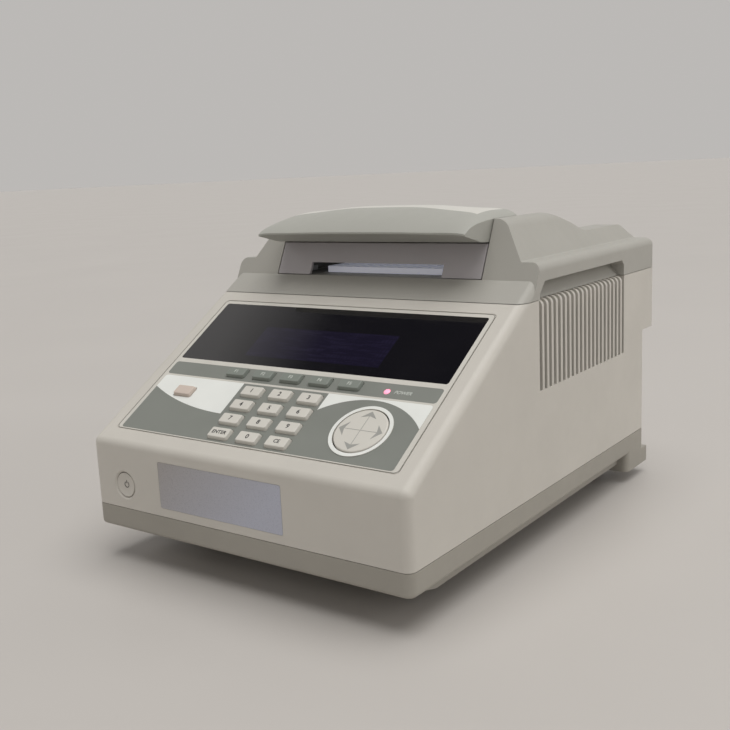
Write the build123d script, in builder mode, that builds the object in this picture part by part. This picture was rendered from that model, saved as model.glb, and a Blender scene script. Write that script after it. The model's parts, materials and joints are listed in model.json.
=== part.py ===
from build123d import *
import os
from math import cos, radians, sin, tan

# Thermal cycler, millimetres.  Origin: centre of the footprint, on the table.
# +Z is up, the front faces -Y, +X is the right hand side seen from the front.

# ---- Driving dimensions ----------------------------------------------------
WIDTH = 300.0
DEPTH = 423.0
HALF = WIDTH / 2
FRONT = -DEPTH / 2
REAR = DEPTH / 2

SEAM_Z = 45.0            # cover sits on the base here
CONSOLE_FOOT_Z = 97.9    # where the vertical front turns into the console
CONSOLE_ANGLE = 31.4     # console slope from horizontal, degrees
DECK_Z = 194.7           # deck sits on the cover here
FLOOR_Z = 209.0          # deck floor that the lid slides over
TOWER_TOP_Z = 254.4      # top of the two fenders
LEAN = 25.8              # lean of the lid's front plane from vertical, degrees
OVERHANG_Z = 139.0       # underside of the rear overhang
LOWER_REAR_Y = 187.0     # rear wall under the overhang
WALL = 3.2               # moulded wall
CORNER = 7.0             # outer corner radius
SEAM_GAP = 0.4           # visible joint between two mouldings

LID_HALF = 103.3         # half width of the channel between the fenders
LID_CLEAR = 1.0          # side clearance of the lid in the channel
LID_REAR = 88.0          # rear end of the closed lid
LID_TRAVEL = 108.0       # how far the lid slides back
PIVOT_Y = 20.0           # lever pivot
PIVOT_Z = 248.0

BLOCK_Y = 34.3           # centre of the sample block
WELL_PITCH = 9.0         # standard 96 well pitch
WELLS_X = 12
WELLS_Y = 8

KEY_TRAVEL = 1.2
KEY_WIDTH = 19.4
KEY_DEPTH = 10.4
KEY_HEIGHT = 2.6

slope = tan(radians(CONSOLE_ANGLE))
CONSOLE = Plane(
    origin=(0, FRONT, CONSOLE_FOOT_Z),
    x_dir=(1, 0, 0),
    z_dir=(0, -sin(radians(CONSOLE_ANGLE)), cos(radians(CONSOLE_ANGLE))),
)


def slope_y(z):
    """Y of the console surface at height z."""
    return FRONT + (z - CONSOLE_FOOT_Z) / slope


LEDGE_Y = slope_y(FLOOR_Z)


def lean_y(z):
    """Y of the lid's leaning front plane at height z."""
    return LEDGE_Y + (z - FLOOR_Z) * tan(radians(LEAN))


os.makedirs("parts", exist_ok=True)


def save(piece, name):
    """Label a finished piece and write it as its own STEP file."""
    piece.part.label = name
    export_step(piece.part, f"parts/{name}.step")


def cuboid(x, y, z, mode=Mode.ADD):
    """Add to the part being built, or cut from it, a box given by its two ends along each axis."""
    lows = [min(ends) for ends in (x, y, z)]
    sizes = [abs(ends[1] - ends[0]) for ends in (x, y, z)]
    with Locations(tuple(lows)):
        Box(*sizes, align=(Align.MIN, Align.MIN, Align.MIN), mode=mode)


def prism_x(points, half):
    """A side-view outline of (y, z) points, extruded to x = +-half."""
    with BuildPart() as prism:
        with BuildSketch(Plane.YZ):
            with BuildLine():
                Polyline(*points, close=True)
            make_face()
        extrude(amount=half, both=True)
    return prism.part


# ---- Base ------------------------------------------------------------------
RIM_Z = 27.4             # underside of the base's outer rim
SKID_Z = 17.4            # underside of the inset skid
SKID_HALF = 140.0
BASE_WALL = 2.5
BLOCK_FOOT_Z = 10.4      # underside of the two rear foot blocks
BLOCK_FRONT = 152.0
BLOCK_REAR = 200.0
BLOCK_TOP = 24.8
BLOCK_INNER = 118.0
BLOCK_ROUND = 6.0
PAN_FLOOR = SKID_Z + BASE_WALL


def skid_outline(inset):
    """Side view of the skid, whose front end slopes up to the rim."""
    return [
        (FRONT + 6 + inset, RIM_Z + 6),
        (FRONT + 6 + inset, RIM_Z),
        (-167.5 + inset, SKID_Z + inset),
        (LOWER_REAR_Y - inset, SKID_Z + inset),
        (LOWER_REAR_Y - inset, RIM_Z + 6),
    ]


skid_outer = prism_x(skid_outline(0), SKID_HALF)
skid_void = prism_x(skid_outline(BASE_WALL), SKID_HALF - BASE_WALL)
FOOT_SPOTS = [(-100, -130), (100, -130), (-104, 168), (104, 168)]
FOOT_RADIUS = 12.0
FOOT_RECESS = 5.0        # radius of the recess for the foot's screw
FOOT_SEAT = 5.0          # rubber above the recess
SCREW_HOLE = 2.1
BOARD_POSTS = [(-40, -50), (120, -50), (-40, 125), (120, 125)]
BOARD_Z = 32.0

with BuildPart() as base_pan:
    cuboid((-HALF, HALF), (FRONT, LOWER_REAR_Y), (RIM_Z, SEAM_Z - SEAM_GAP / 2))
    fillet(base_pan.edges().filter_by(Axis.Z).group_by(Axis.Y)[0], CORNER)
    fillet(base_pan.faces().sort_by(Axis.Z)[0].edges(), 3.0)
    add(skid_outer)
    for side in (-1, 1):
        block_x = (side * BLOCK_INNER, side * HALF)
        cuboid(block_x, (BLOCK_FRONT, BLOCK_REAR), (BLOCK_FOOT_Z, BLOCK_TOP))
        cuboid(block_x, (BLOCK_FRONT, LOWER_REAR_Y), (BLOCK_TOP, RIM_Z + 4))
    block_corners = (
        base_pan.edges()
        .filter_by(Axis.Z)
        .filter_by_position(Axis.Y, BLOCK_FRONT - 0.1, BLOCK_FRONT + 0.1)
        .filter_by(lambda e: abs(e.center().X) > HALF - 0.1)
    )
    fillet(block_corners, BLOCK_ROUND)
    add(skid_void, mode=Mode.SUBTRACT)
    cuboid(
        (-HALF + WALL, HALF - WALL),
        (FRONT + WALL, LOWER_REAR_Y - WALL),
        (RIM_Z + BASE_WALL, SEAM_Z + 1),
        mode=Mode.SUBTRACT,
    )
    # air vents in the skid floor
    with BuildSketch(Plane.XY.offset(SKID_Z)):
        with Locations((0, 30)):
            with GridLocations(9, 60, 16, 2):
                SlotOverall(44, 3.5, rotation=90)
    extrude(amount=BASE_WALL, mode=Mode.SUBTRACT)
    # posts that carry the main board
    with BuildSketch(Plane.XY.offset(PAN_FLOOR)):
        with Locations(*BOARD_POSTS):
            Circle(4)
            Circle(1.25, mode=Mode.SUBTRACT)
    extrude(amount=BOARD_Z - PAN_FLOOR)
    # foot screw holes
    with BuildSketch(Plane.XY):
        with Locations(*FOOT_SPOTS):
            Circle(SCREW_HOLE)
    extrude(amount=RIM_Z + 8, mode=Mode.SUBTRACT)
save(base_pan, "base_pan")

with BuildPart() as rubber_feet:
    with BuildSketch(Plane.XY):
        with Locations(*FOOT_SPOTS):
            Circle(FOOT_RADIUS)
    extrude(amount=SKID_Z, taper=2)
    with BuildSketch(Plane.XY):
        with Locations(*FOOT_SPOTS):
            Circle(FOOT_RECESS)
    extrude(amount=SKID_Z - FOOT_SEAT, mode=Mode.SUBTRACT)
    with BuildSketch(Plane.XY.offset(SKID_Z - FOOT_SEAT)):
        with Locations(*FOOT_SPOTS):
            Circle(SCREW_HOLE)
    extrude(amount=FOOT_SEAT, mode=Mode.SUBTRACT)
    fillet(rubber_feet.edges().filter_by(GeomType.CIRCLE).group_by(Axis.Z)[0], 0.8)
save(rubber_feet, "rubber_feet")

# ---- Main cover ------------------------------------------------------------
LOUVRE_PITCH = 8.18
LOUVRE_COUNT = 21
LOUVRE_WIDTH = 4.7
LOUVRE_Y = 57.3
LOUVRE_Z = (125.0, 196.0)
LOUVRE_INNER_X = 143.0   # the slots reach in to here
GRIP_Y = (-25.0, 141.0)  # hand grip recesses, along the side
GRIP_TOP_Z = 208.2
GRIP_FOOT_X = 144.6      # foot of the recess's leaning back wall
GRIP_CREST_X = 134.0     # top of that wall
GRIP_SHOULDER = 5.0      # round on the cover's top edge below the recess
GRIP_LEDGE_X = 139.5     # the cover is thick from here out, below the recess

OVERLAY_HALF = 134.0
OVERLAY_S = (15.0, 173.8)
OVERLAY_MID = sum(OVERLAY_S) / 2
OVERLAY_LENGTH = OVERLAY_S[1] - OVERLAY_S[0]
OVERLAY_THICK = 1.0
WINDOW_SIZE = (136.0, 39.0)
WINDOW_S = 125.6
KEY_GAP = 0.5

KEY_COLUMNS = (-27.8, 0.0, 27.8)
KEY_ROWS = (68.4, 53.55, 38.7, 23.85)
KEY_NAMES = (
    ("key_1", "key_2", "key_3"),
    ("key_4", "key_5", "key_6"),
    ("key_7", "key_8", "key_9"),
    ("key_enter", "key_0", "key_clear"),
)
F_KEY_X = (-57.4, -29.7, -1.9, 25.9, 53.6)
F_KEY_S = 87.0
F_KEY_SIZE = (19.2, 9.4)
STOP_SPOT = (-94.9, 61.0)
NAV_SPOT = (86.9, 45.9)
NAV_RADIUS = 20.2
NAV_RING = 3.7           # width of the raised ring round the cursor disc
LED_SPOT = (86.5, 85.4)
LED_RADIUS = 2.5
POWER_X = -115.2
POWER_Z = 63.9
POWER_RADIUS = 9.8
LABEL_CENTRE = (-15.5, 70.0)
LABEL_SIZE = (121.0, 36.0)
LABEL_THICK = 0.25

keypad_spots = [(x, s) for s in KEY_ROWS for x in KEY_COLUMNS]
f_key_spots = [(x, F_KEY_S) for x in F_KEY_X]


def cover_form(inset, bottom, top, radius):
    """The cover's block form with every outer wall moved in by inset."""
    foot = CONSOLE_FOOT_Z + inset * slope - inset / cos(radians(CONSOLE_ANGLE))
    crest = slope_y(top) + inset / sin(radians(CONSOLE_ANGLE))
    outline = [
        (FRONT + inset, bottom),
        (FRONT + inset, foot),
        (crest, top),
        (REAR - inset, top),
        (REAR - inset, OVERHANG_Z + inset),
        (LOWER_REAR_Y - inset, OVERHANG_Z + inset),
        (LOWER_REAR_Y - inset, bottom),
    ]
    block = prism_x(outline, HALF - inset)
    with BuildPart() as form:
        add(block)
        upright = form.edges().filter_by(Axis.Z).group_by(Axis.Y)[0]
        bend = form.edges().filter_by(Axis.X).filter_by_position(Axis.Z, foot - 0.1, foot + 0.1)
        console_sides = form.edges().filter_by(
            lambda e: abs(e.center().X) > HALF - inset - 0.1
            and abs(e.tangent_at(0).Y) > 0.5
            and abs(e.tangent_at(0).Z) > 0.4
        )
        fillet(upright + bend + console_sides, radius)
    return form.part


def console_openings(gap):
    """Holes for every key, the cursor disc and the lamp, as a sketch on the console."""
    with BuildSketch() as holes:
        with Locations(*keypad_spots, STOP_SPOT):
            RectangleRounded(KEY_WIDTH + 2 * gap, KEY_DEPTH + 2 * gap, 1.5 + gap)
        with Locations(*f_key_spots):
            RectangleRounded(F_KEY_SIZE[0] + 2 * gap, F_KEY_SIZE[1] + 2 * gap, 1.5 + gap)
        with Locations(NAV_SPOT):
            Circle(NAV_RADIUS + 0.3 + gap)
        with Locations(LED_SPOT):
            Circle(LED_RADIUS + gap / 2)
    return holes.sketch


cover_outer = cover_form(0, SEAM_Z + SEAM_GAP / 2, DECK_Z - SEAM_GAP / 2, CORNER)
cover_void = cover_form(WALL, SEAM_Z - 5, DECK_Z + 5, CORNER - WALL)
BOSS_SPOTS = [(x, s) for x in (-124, 124) for s in (22, 92)]
BOARD_OFFSET = 9.0       # console board, below the console surface

cover_top = DECK_Z - SEAM_GAP / 2
cover_openings = console_openings(KEY_GAP + 0.4)

with BuildPart() as main_cover_void:
    add(cover_void)
    for side in (-1, 1):
        cuboid(
            (side * GRIP_LEDGE_X, side * (HALF + 1)),
            (GRIP_Y[0] - WALL, GRIP_Y[1] + WALL),
            (cover_top - GRIP_SHOULDER - WALL, DECK_Z + 6),
            mode=Mode.SUBTRACT,
        )

with BuildPart() as main_cover:
    add(cover_outer)
    # rounded shoulder below each hand grip
    for side in (-1, 1):
        with BuildSketch(Plane.XZ.offset(-GRIP_Y[0])):
            with Locations((side * (HALF + 0.5 - GRIP_SHOULDER / 2), cover_top + 0.5 - GRIP_SHOULDER / 2)):
                Rectangle(GRIP_SHOULDER + 1, GRIP_SHOULDER + 1)
            with Locations((side * (HALF - GRIP_SHOULDER), cover_top - GRIP_SHOULDER)):
                Circle(GRIP_SHOULDER, mode=Mode.SUBTRACT)
        extrude(amount=GRIP_Y[0] - GRIP_Y[1], mode=Mode.SUBTRACT)
    add(main_cover_void.part, mode=Mode.SUBTRACT)
    # rear opening, closed by the rear panel
    cuboid((-140, 140), (LOWER_REAR_Y - 6, LOWER_REAR_Y + 1), (40, 132), mode=Mode.SUBTRACT)
    # side louvres
    for side in (-1, 1):
        with BuildSketch(Plane.YZ.offset(side * LOUVRE_INNER_X)):
            with Locations((LOUVRE_Y, sum(LOUVRE_Z) / 2)):
                with GridLocations(LOUVRE_PITCH, 1, LOUVRE_COUNT, 1):
                    Rectangle(LOUVRE_WIDTH, LOUVRE_Z[1] - LOUVRE_Z[0])
        extrude(amount=side * (HALF + 1 - LOUVRE_INNER_X), mode=Mode.SUBTRACT)
    # shallow seat for the overlay, the display aperture and the key holes
    with BuildSketch(CONSOLE):
        with Locations((0, OVERLAY_MID)):
            RectangleRounded(2 * OVERLAY_HALF + 1, OVERLAY_LENGTH + 1, 3.5)
    extrude(amount=-OVERLAY_THICK, mode=Mode.SUBTRACT)
    with BuildSketch(CONSOLE):
        with Locations((0, WINDOW_S)):
            Rectangle(*WINDOW_SIZE)
        add(cover_openings)
    extrude(amount=-WALL - 1, mode=Mode.SUBTRACT)
    # bosses for the console board
    with BuildSketch(CONSOLE.offset(-BOARD_OFFSET)):
        with Locations(*BOSS_SPOTS):
            Circle(3.5)
            Circle(1.25, mode=Mode.SUBTRACT)
    extrude(amount=BOARD_OFFSET - WALL)
    # power button hole with a soft edge
    with BuildSketch(Plane.XZ.offset(-FRONT)):
        with Locations((POWER_X, POWER_Z)):
            Circle(POWER_RADIUS + 0.5)
    extrude(amount=-WALL - 1, mode=Mode.SUBTRACT)
    power_rim = main_cover.edges().filter_by(GeomType.CIRCLE).filter_by(
        lambda e: abs(e.arc_center.Y - FRONT) < 0.1 and abs(e.arc_center.X - POWER_X) < 0.1
    )
    chamfer(power_rim, 1.2)
    # shallow seat for the front label
    with BuildSketch(Plane.XZ.offset(-FRONT)):
        with Locations(LABEL_CENTRE):
            RectangleRounded(LABEL_SIZE[0] + 0.4, LABEL_SIZE[1] + 0.4, 1.5)
    extrude(amount=-LABEL_THICK, mode=Mode.SUBTRACT)
save(main_cover, "main_cover")

# ---- Top deck --------------------------------------------------------------
SHOULDER_Z = 222.5
FENDER_FOOT_X = 133.6
FENDER_CREST_X = 113.3
FENDER_ROUND = 15.0
RIM_TOP_Z = 236.0
DECK_WALL = 3.0
CHANNEL_REAR = LID_REAR + LID_TRAVEL + 7
BAY_HALF_X = 67.0        # opening for the sample block
BAY_HALF_Y = 46.0
SLOT_X = 92.0            # runner slots in the deck floor
SLOT_Y = (-5.0, LID_TRAVEL + 84)
SLOT_WIDTH = 6.0


def deck_form(inset, bottom):
    """The deck's outer form with every outer wall moved in by inset."""
    crest = slope_y(FLOOR_Z) + inset / sin(radians(CONSOLE_ANGLE))
    side_view = [
        (slope_y(bottom) + inset / sin(radians(CONSOLE_ANGLE)), bottom),
        (crest, FLOOR_Z),
        (lean_y(TOWER_TOP_Z) + 1.3 * inset, TOWER_TOP_Z - inset),
        (70 - 0.4 * inset, TOWER_TOP_Z - inset),
        (98 - 0.4 * inset, 243.6 - inset),
        (112, RIM_TOP_Z - inset),
        (191.5 - 0.4 * inset, RIM_TOP_Z - inset),
        (REAR - inset, 220 - 0.6 * inset),
        (REAR - inset, bottom),
    ]
    side_radii = [0, 0, 0, 25, 25, 25, 12, 6, 0]
    right_view = [
        (HALF - inset, bottom),
        (HALF - inset, SHOULDER_Z - inset),
        (FENDER_FOOT_X - inset, SHOULDER_Z - inset),
        (FENDER_CREST_X - inset, TOWER_TOP_Z - inset),
    ]
    left_view = [(-x, z) for x, z in reversed(right_view)]
    front_radii = [0, CORNER - inset, 2.0, FENDER_ROUND, FENDER_ROUND, 2.0, CORNER - inset, 0]
    with BuildPart() as form:
        with BuildSketch(Plane.YZ):
            with BuildLine():
                FilletPolyline(*side_view, radius=side_radii, close=True)
            make_face()
        extrude(amount=HALF + 5, both=True)
        with BuildSketch(Plane.XZ):
            with BuildLine():
                FilletPolyline(*right_view, *left_view, radius=front_radii, close=True)
            make_face()
        extrude(amount=DEPTH, both=True, mode=Mode.INTERSECT)
    return form.part


def grip_recess(side, grow):
    """A hand grip as a solid to cut: its back wall leans and its front top corner is slanted."""
    outline = [
        (GRIP_Y[0] - grow, DECK_Z - 6),
        (GRIP_Y[0] - grow, 199.5),
        (GRIP_Y[0] + 8.7 - grow, GRIP_TOP_Z + grow),
        (GRIP_Y[1] - 4 + grow, GRIP_TOP_Z + grow),
        (GRIP_Y[1] + grow, GRIP_TOP_Z - 4 + grow),
        (GRIP_Y[1] + grow, DECK_Z - 6),
    ]
    lean = (GRIP_FOOT_X - GRIP_CREST_X) / (GRIP_TOP_Z - DECK_Z)
    behind_wall = [
        (side * (GRIP_FOOT_X - grow + 8 * lean), DECK_Z - 8),
        (side * (GRIP_CREST_X - grow - 5 * lean), GRIP_TOP_Z + 5),
        (side * (GRIP_CREST_X - grow - 20), GRIP_TOP_Z + 5),
        (side * (GRIP_CREST_X - grow - 20), DECK_Z - 8),
    ]
    with BuildPart() as recess:
        with BuildSketch(Plane.YZ.offset(side * (GRIP_CREST_X - 10))):
            with BuildLine():
                FilletPolyline(*outline, radius=[0, 2, 2, 2, 2, 0], close=True)
            make_face()
        extrude(amount=side * (HALF + 1 - GRIP_CREST_X + 10))
        with BuildSketch(Plane.XZ):
            with BuildLine():
                Polyline(*behind_wall, close=True)
            make_face()
        extrude(amount=DEPTH, both=True, mode=Mode.SUBTRACT)
    return recess.part


deck_bottom = DECK_Z + SEAM_GAP / 2
deck_outer = deck_form(0, deck_bottom)
deck_inner = deck_form(DECK_WALL, deck_bottom - 3)
grip_walls = [grip_recess(side, DECK_WALL) for side in (-1, 1)]
grip_recesses = [grip_recess(side, 0) for side in (-1, 1)]

with BuildPart() as deck_void:
    add(deck_inner)
    # material round the lid's channel and the hand grips
    cuboid(
        (-LID_HALF - DECK_WALL, LID_HALF + DECK_WALL),
        (FRONT, CHANNEL_REAR + DECK_WALL),
        (FLOOR_Z - DECK_WALL, TOWER_TOP_Z + 1),
        mode=Mode.SUBTRACT,
    )
    add(grip_walls, mode=Mode.SUBTRACT)

with BuildPart() as top_deck:
    add(deck_outer)
    band_sides = top_deck.edges().filter_by(
        lambda e: abs(e.center().X) > HALF - 0.1
        and e.center().Z < FLOOR_Z
        and abs(e.tangent_at(0).Y) > 0.5
        and abs(e.tangent_at(0).Z) > 0.4
    )
    fillet(band_sides, CORNER - 0.5)
    cuboid(
        (-LID_HALF, LID_HALF),
        (LEDGE_Y - 30, CHANNEL_REAR),
        (FLOOR_Z, TOWER_TOP_Z + 1),
        mode=Mode.SUBTRACT,
    )
    add(grip_recesses, mode=Mode.SUBTRACT)
    add(deck_void.part, mode=Mode.SUBTRACT)
    # sample bay and the two runner slots
    with BuildSketch(Plane.XY.offset(FLOOR_Z)):
        with Locations((0, BLOCK_Y)):
            RectangleRounded(2 * BAY_HALF_X, 2 * BAY_HALF_Y, 3)
        with Locations((-SLOT_X, sum(SLOT_Y) / 2), (SLOT_X, sum(SLOT_Y) / 2)):
            SlotOverall(SLOT_Y[1] - SLOT_Y[0], SLOT_WIDTH, rotation=90)
    extrude(amount=-DECK_WALL - 1, mode=Mode.SUBTRACT)
save(top_deck, "top_deck")

RAIL_LIP_X = 93.5        # inner end of the rail's lip, under the runners
RAIL_X = (97.2, 100.2)
RAIL_FOOT_Z = 195.5
RAIL_LIP_Z = 198.0
RAIL_Y = (SLOT_Y[0] - 4, SLOT_Y[1] + 4)

with BuildPart() as guide_rails:
    for side in (-1, 1):
        rail_outline = [
            (side * RAIL_X[0], RAIL_LIP_Z),
            (side * RAIL_X[0], FLOOR_Z - DECK_WALL),
            (side * RAIL_X[1], FLOOR_Z - DECK_WALL),
            (side * RAIL_X[1], RAIL_FOOT_Z),
            (side * RAIL_LIP_X, RAIL_FOOT_Z),
            (side * RAIL_LIP_X, RAIL_LIP_Z),
        ]
        with BuildSketch(Plane.XZ.offset(-RAIL_Y[1])):
            with BuildLine():
                Polyline(*rail_outline, close=True)
            make_face()
        extrude(amount=RAIL_Y[1] - RAIL_Y[0])
save(guide_rails, "guide_rails")

# ---- Console pieces --------------------------------------------------------
GLASS_HALF = 130.0
GLASS_S = (98.3, 169.8)
GLASS_MID = sum(GLASS_S) / 2
overlay_openings = console_openings(KEY_GAP)

with BuildPart() as overlay_panel:
    with BuildSketch(CONSOLE.offset(-OVERLAY_THICK)):
        with Locations((0, OVERLAY_MID)):
            RectangleRounded(2 * OVERLAY_HALF, OVERLAY_LENGTH, 3)
        with Locations((0, GLASS_MID)):
            RectangleRounded(2 * GLASS_HALF, GLASS_S[1] - GLASS_S[0], 2, mode=Mode.SUBTRACT)
        add(overlay_openings, mode=Mode.SUBTRACT)
    extrude(amount=OVERLAY_THICK)
    # raised ring round the cursor disc
    with BuildSketch(CONSOLE):
        with Locations(NAV_SPOT):
            Circle(NAV_RADIUS + NAV_RING)
            Circle(NAV_RADIUS + 0.3 + KEY_GAP, mode=Mode.SUBTRACT)
    extrude(amount=0.5)
save(overlay_panel, "overlay_panel")

with BuildPart() as display_window:
    with BuildSketch(CONSOLE.offset(-OVERLAY_THICK)):
        with Locations((0, GLASS_MID)):
            RectangleRounded(2 * GLASS_HALF - 0.3, GLASS_S[1] - GLASS_S[0] - 0.3, 2)
    extrude(amount=OVERLAY_THICK)
save(display_window, "display_window")

LCD_SIZE = (160.0, 62.0)
LCD_THICK = 9.0
LCD_VIEW = (131.0, 35.0)
LCD_BEZEL = 1.0          # raised edge round the viewing area
with BuildPart() as lcd_module:
    with BuildSketch(CONSOLE.offset(-WALL - LCD_THICK)):
        with Locations((0, WINDOW_S)):
            Rectangle(*LCD_SIZE)
    extrude(amount=LCD_THICK)
    with BuildSketch(CONSOLE.offset(-WALL)):
        with Locations((0, WINDOW_S)):
            Rectangle(LCD_VIEW[0] + 2 * LCD_BEZEL, LCD_VIEW[1] + 2 * LCD_BEZEL)
            Rectangle(*LCD_VIEW, mode=Mode.SUBTRACT)
    extrude(amount=0.8)
save(lcd_module, "lcd_module")

BOARD_THICK = 1.6
CONNECTOR_SPOT = (20.0, 40.0)
CONNECTOR_SIZE = (30.0, 8.0)
CONNECTOR_HEIGHT = 8.0

with BuildPart() as console_board:
    with BuildSketch(CONSOLE.offset(-BOARD_OFFSET - BOARD_THICK)):
        with Locations((0, 55)):
            Rectangle(256, 78)
        with Locations(*BOSS_SPOTS):
            Circle(1.25, mode=Mode.SUBTRACT)
    extrude(amount=BOARD_THICK)
    # post under the cursor pivot, and the cable connector behind
    with BuildSketch(CONSOLE.offset(-BOARD_OFFSET)):
        with Locations(NAV_SPOT):
            Circle(2.5)
    extrude(amount=1.4)
    with BuildSketch(CONSOLE.offset(-BOARD_OFFSET - BOARD_THICK)):
        with Locations(CONNECTOR_SPOT):
            Rectangle(*CONNECTOR_SIZE)
    extrude(amount=-CONNECTOR_HEIGHT)
save(console_board, "console_board")

FLANGE_TOP = WALL + 0.4  # a key's flange rests this far below the console surface
FLANGE_THICK = 1.0
MAT_SHEET = 1.2
MAT_TOP = FLANGE_TOP + FLANGE_THICK + KEY_TRAVEL + 0.1
with BuildPart() as key_mat:
    with BuildSketch(CONSOLE.offset(-BOARD_OFFSET)):
        with Locations((-20.5, 55)):
            RectangleRounded(174, 76, 3)
    extrude(amount=MAT_SHEET)
    with BuildSketch(CONSOLE.offset(-BOARD_OFFSET + MAT_SHEET)):
        with Locations(*keypad_spots, *f_key_spots, STOP_SPOT):
            Circle(3.6)
    extrude(amount=BOARD_OFFSET - MAT_SHEET - MAT_TOP, taper=20)
save(key_mat, "key_mat")


def make_key(spot, width, depth, height, name):
    """One keycap: a flange under the cover, a shaft and a softly tapered top."""
    with BuildPart() as keycap:
        with BuildSketch(CONSOLE.offset(-FLANGE_TOP - FLANGE_THICK)):
            with Locations(spot):
                RectangleRounded(width + 3.4, depth + 3.0, 1.5)
        extrude(amount=FLANGE_THICK)
        with BuildSketch(CONSOLE.offset(-FLANGE_TOP)):
            with Locations(spot):
                RectangleRounded(width, depth, 1.5)
        extrude(amount=FLANGE_TOP)
        with BuildSketch(CONSOLE):
            with Locations(spot):
                RectangleRounded(width, depth, 1.5)
        with BuildSketch(CONSOLE.offset(height)):
            with Locations(spot):
                RectangleRounded(width - 1.4, depth - 1.4, 1.2)
        loft()
        top = keycap.faces().filter_by(CONSOLE).sort_by(Axis(CONSOLE.origin, CONSOLE.z_dir))[-1]
        fillet(top.edges(), 0.6)
    save(keycap, name)


for row_names, row_s in zip(KEY_NAMES, KEY_ROWS):
    for key_name, column_x in zip(row_names, KEY_COLUMNS):
        make_key((column_x, row_s), KEY_WIDTH, KEY_DEPTH, KEY_HEIGHT, key_name)
for number, key_x in enumerate(F_KEY_X, start=1):
    make_key((key_x, F_KEY_S), *F_KEY_SIZE, KEY_HEIGHT, f"f_key_{number}")
make_key(STOP_SPOT, KEY_WIDTH - 1.0, KEY_DEPTH, KEY_HEIGHT, "stop_key")

PIVOT_DEPTH = 6.0        # cursor disc tilts about this depth
with BuildPart() as nav_disc:
    with BuildSketch(CONSOLE.offset(-2.6)):
        with Locations(NAV_SPOT):
            Circle(NAV_RADIUS)
    extrude(amount=3.6)
    rim_edge = nav_disc.edges().filter_by(GeomType.CIRCLE).sort_by(Axis(CONSOLE.origin, CONSOLE.z_dir))
    fillet(rim_edge[-1], 1.2)
    with BuildSketch(CONSOLE.offset(-4.4)):
        with Locations(NAV_SPOT):
            Circle(3)
    extrude(amount=1.8)
save(nav_disc, "nav_disc")

PIVOT_PIN = 1.2          # radius of the pivot's two crossed pins
PIVOT_REACH = 5.5
nav_centre = CONSOLE.from_local_coords(Vector(*NAV_SPOT, -PIVOT_DEPTH))
with BuildPart() as nav_pivot:
    with BuildSketch(CONSOLE.offset(-PIVOT_DEPTH - PIVOT_PIN)):
        with Locations(NAV_SPOT):
            Circle(2 * PIVOT_PIN)
    extrude(amount=2 * PIVOT_PIN)
    for direction in (CONSOLE.x_dir, CONSOLE.y_dir):
        with BuildSketch(Plane(origin=nav_centre - direction * PIVOT_REACH, z_dir=direction)):
            Circle(PIVOT_PIN)
        extrude(amount=2 * PIVOT_REACH)
save(nav_pivot, "nav_pivot")

with BuildPart() as power_led:
    with BuildSketch(CONSOLE.offset(-BOARD_OFFSET)):
        with Locations(LED_SPOT):
            Circle(LED_RADIUS)
    extrude(amount=BOARD_OFFSET + 0.6)
    fillet(power_led.edges().filter_by(GeomType.CIRCLE).sort_by(Axis.Z)[-1], 1.2)
save(power_led, "power_led")

POWER_TRAVEL = 2.0
BUTTON_SET = 0.6         # the button's rim sits this far inside the front face
BUTTON_LENGTH = 12.0
with BuildPart() as power_button:
    with BuildSketch(Plane.XZ.offset(-FRONT - BUTTON_SET)):
        with Locations((POWER_X, POWER_Z)):
            Circle(POWER_RADIUS)
    extrude(amount=-BUTTON_LENGTH)
    with BuildSketch(Plane.XZ.offset(-FRONT - WALL - 0.5)):
        with Locations((POWER_X, POWER_Z)):
            Circle(POWER_RADIUS + 2)
    extrude(amount=-1.6)
    front_edge = power_button.edges().filter_by(GeomType.CIRCLE).sort_by(Axis.Y)[0]
    fillet(front_edge, 0.8)
    # finger scoop
    with Locations((POWER_X, FRONT - 28, POWER_Z)):
        Sphere(30, mode=Mode.SUBTRACT)
save(power_button, "power_button")

SWITCH_FRONT = FRONT + BUTTON_SET + BUTTON_LENGTH + POWER_TRAVEL + 0.6
with BuildPart() as power_switch:
    with BuildSketch(Plane.XZ.offset(-SWITCH_FRONT)):
        with Locations((POWER_X, POWER_Z)):
            RectangleRounded(16, 16, 1)
    extrude(amount=-14)
    with BuildSketch(Plane.XZ.offset(-SWITCH_FRONT)):
        with Locations((POWER_X, POWER_Z)):
            Rectangle(40, 12)
    extrude(amount=-2)
    for side in (-1, 1):
        with BuildSketch(Plane.XZ.offset(-FRONT - WALL)):
            with Locations((POWER_X + side * 17, POWER_Z)):
                Circle(3)
        extrude(amount=-(SWITCH_FRONT - FRONT - WALL))
save(power_switch, "power_switch")

with BuildPart() as front_label:
    with BuildSketch(Plane.XZ.offset(-FRONT)):
        with Locations(LABEL_CENTRE):
            RectangleRounded(*LABEL_SIZE, 1.5)
    extrude(amount=-LABEL_THICK)
save(front_label, "front_label")

# ---- Lid: carriage, front panel, lever and platen ---------------------------
LID_X = LID_HALF - LID_CLEAR
LID_BOTTOM = FLOOR_Z + 0.6
LID_DECK_Z = 236.3       # top of the carriage, under the lever
LID_WALL = 2.5
PANEL_THICK = 2.6
SLOT_HALF = 66.7         # slot that passes over the sample plate
SLOT_TOP = 219.5
EAR_X = (84.0, 90.0)     # carriage ears that hold the pivot pins
PIN_RADIUS = 4.0
LEVER_SWEEP = 21.0       # radius that the lever's rear sweeps round its pivot

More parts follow.
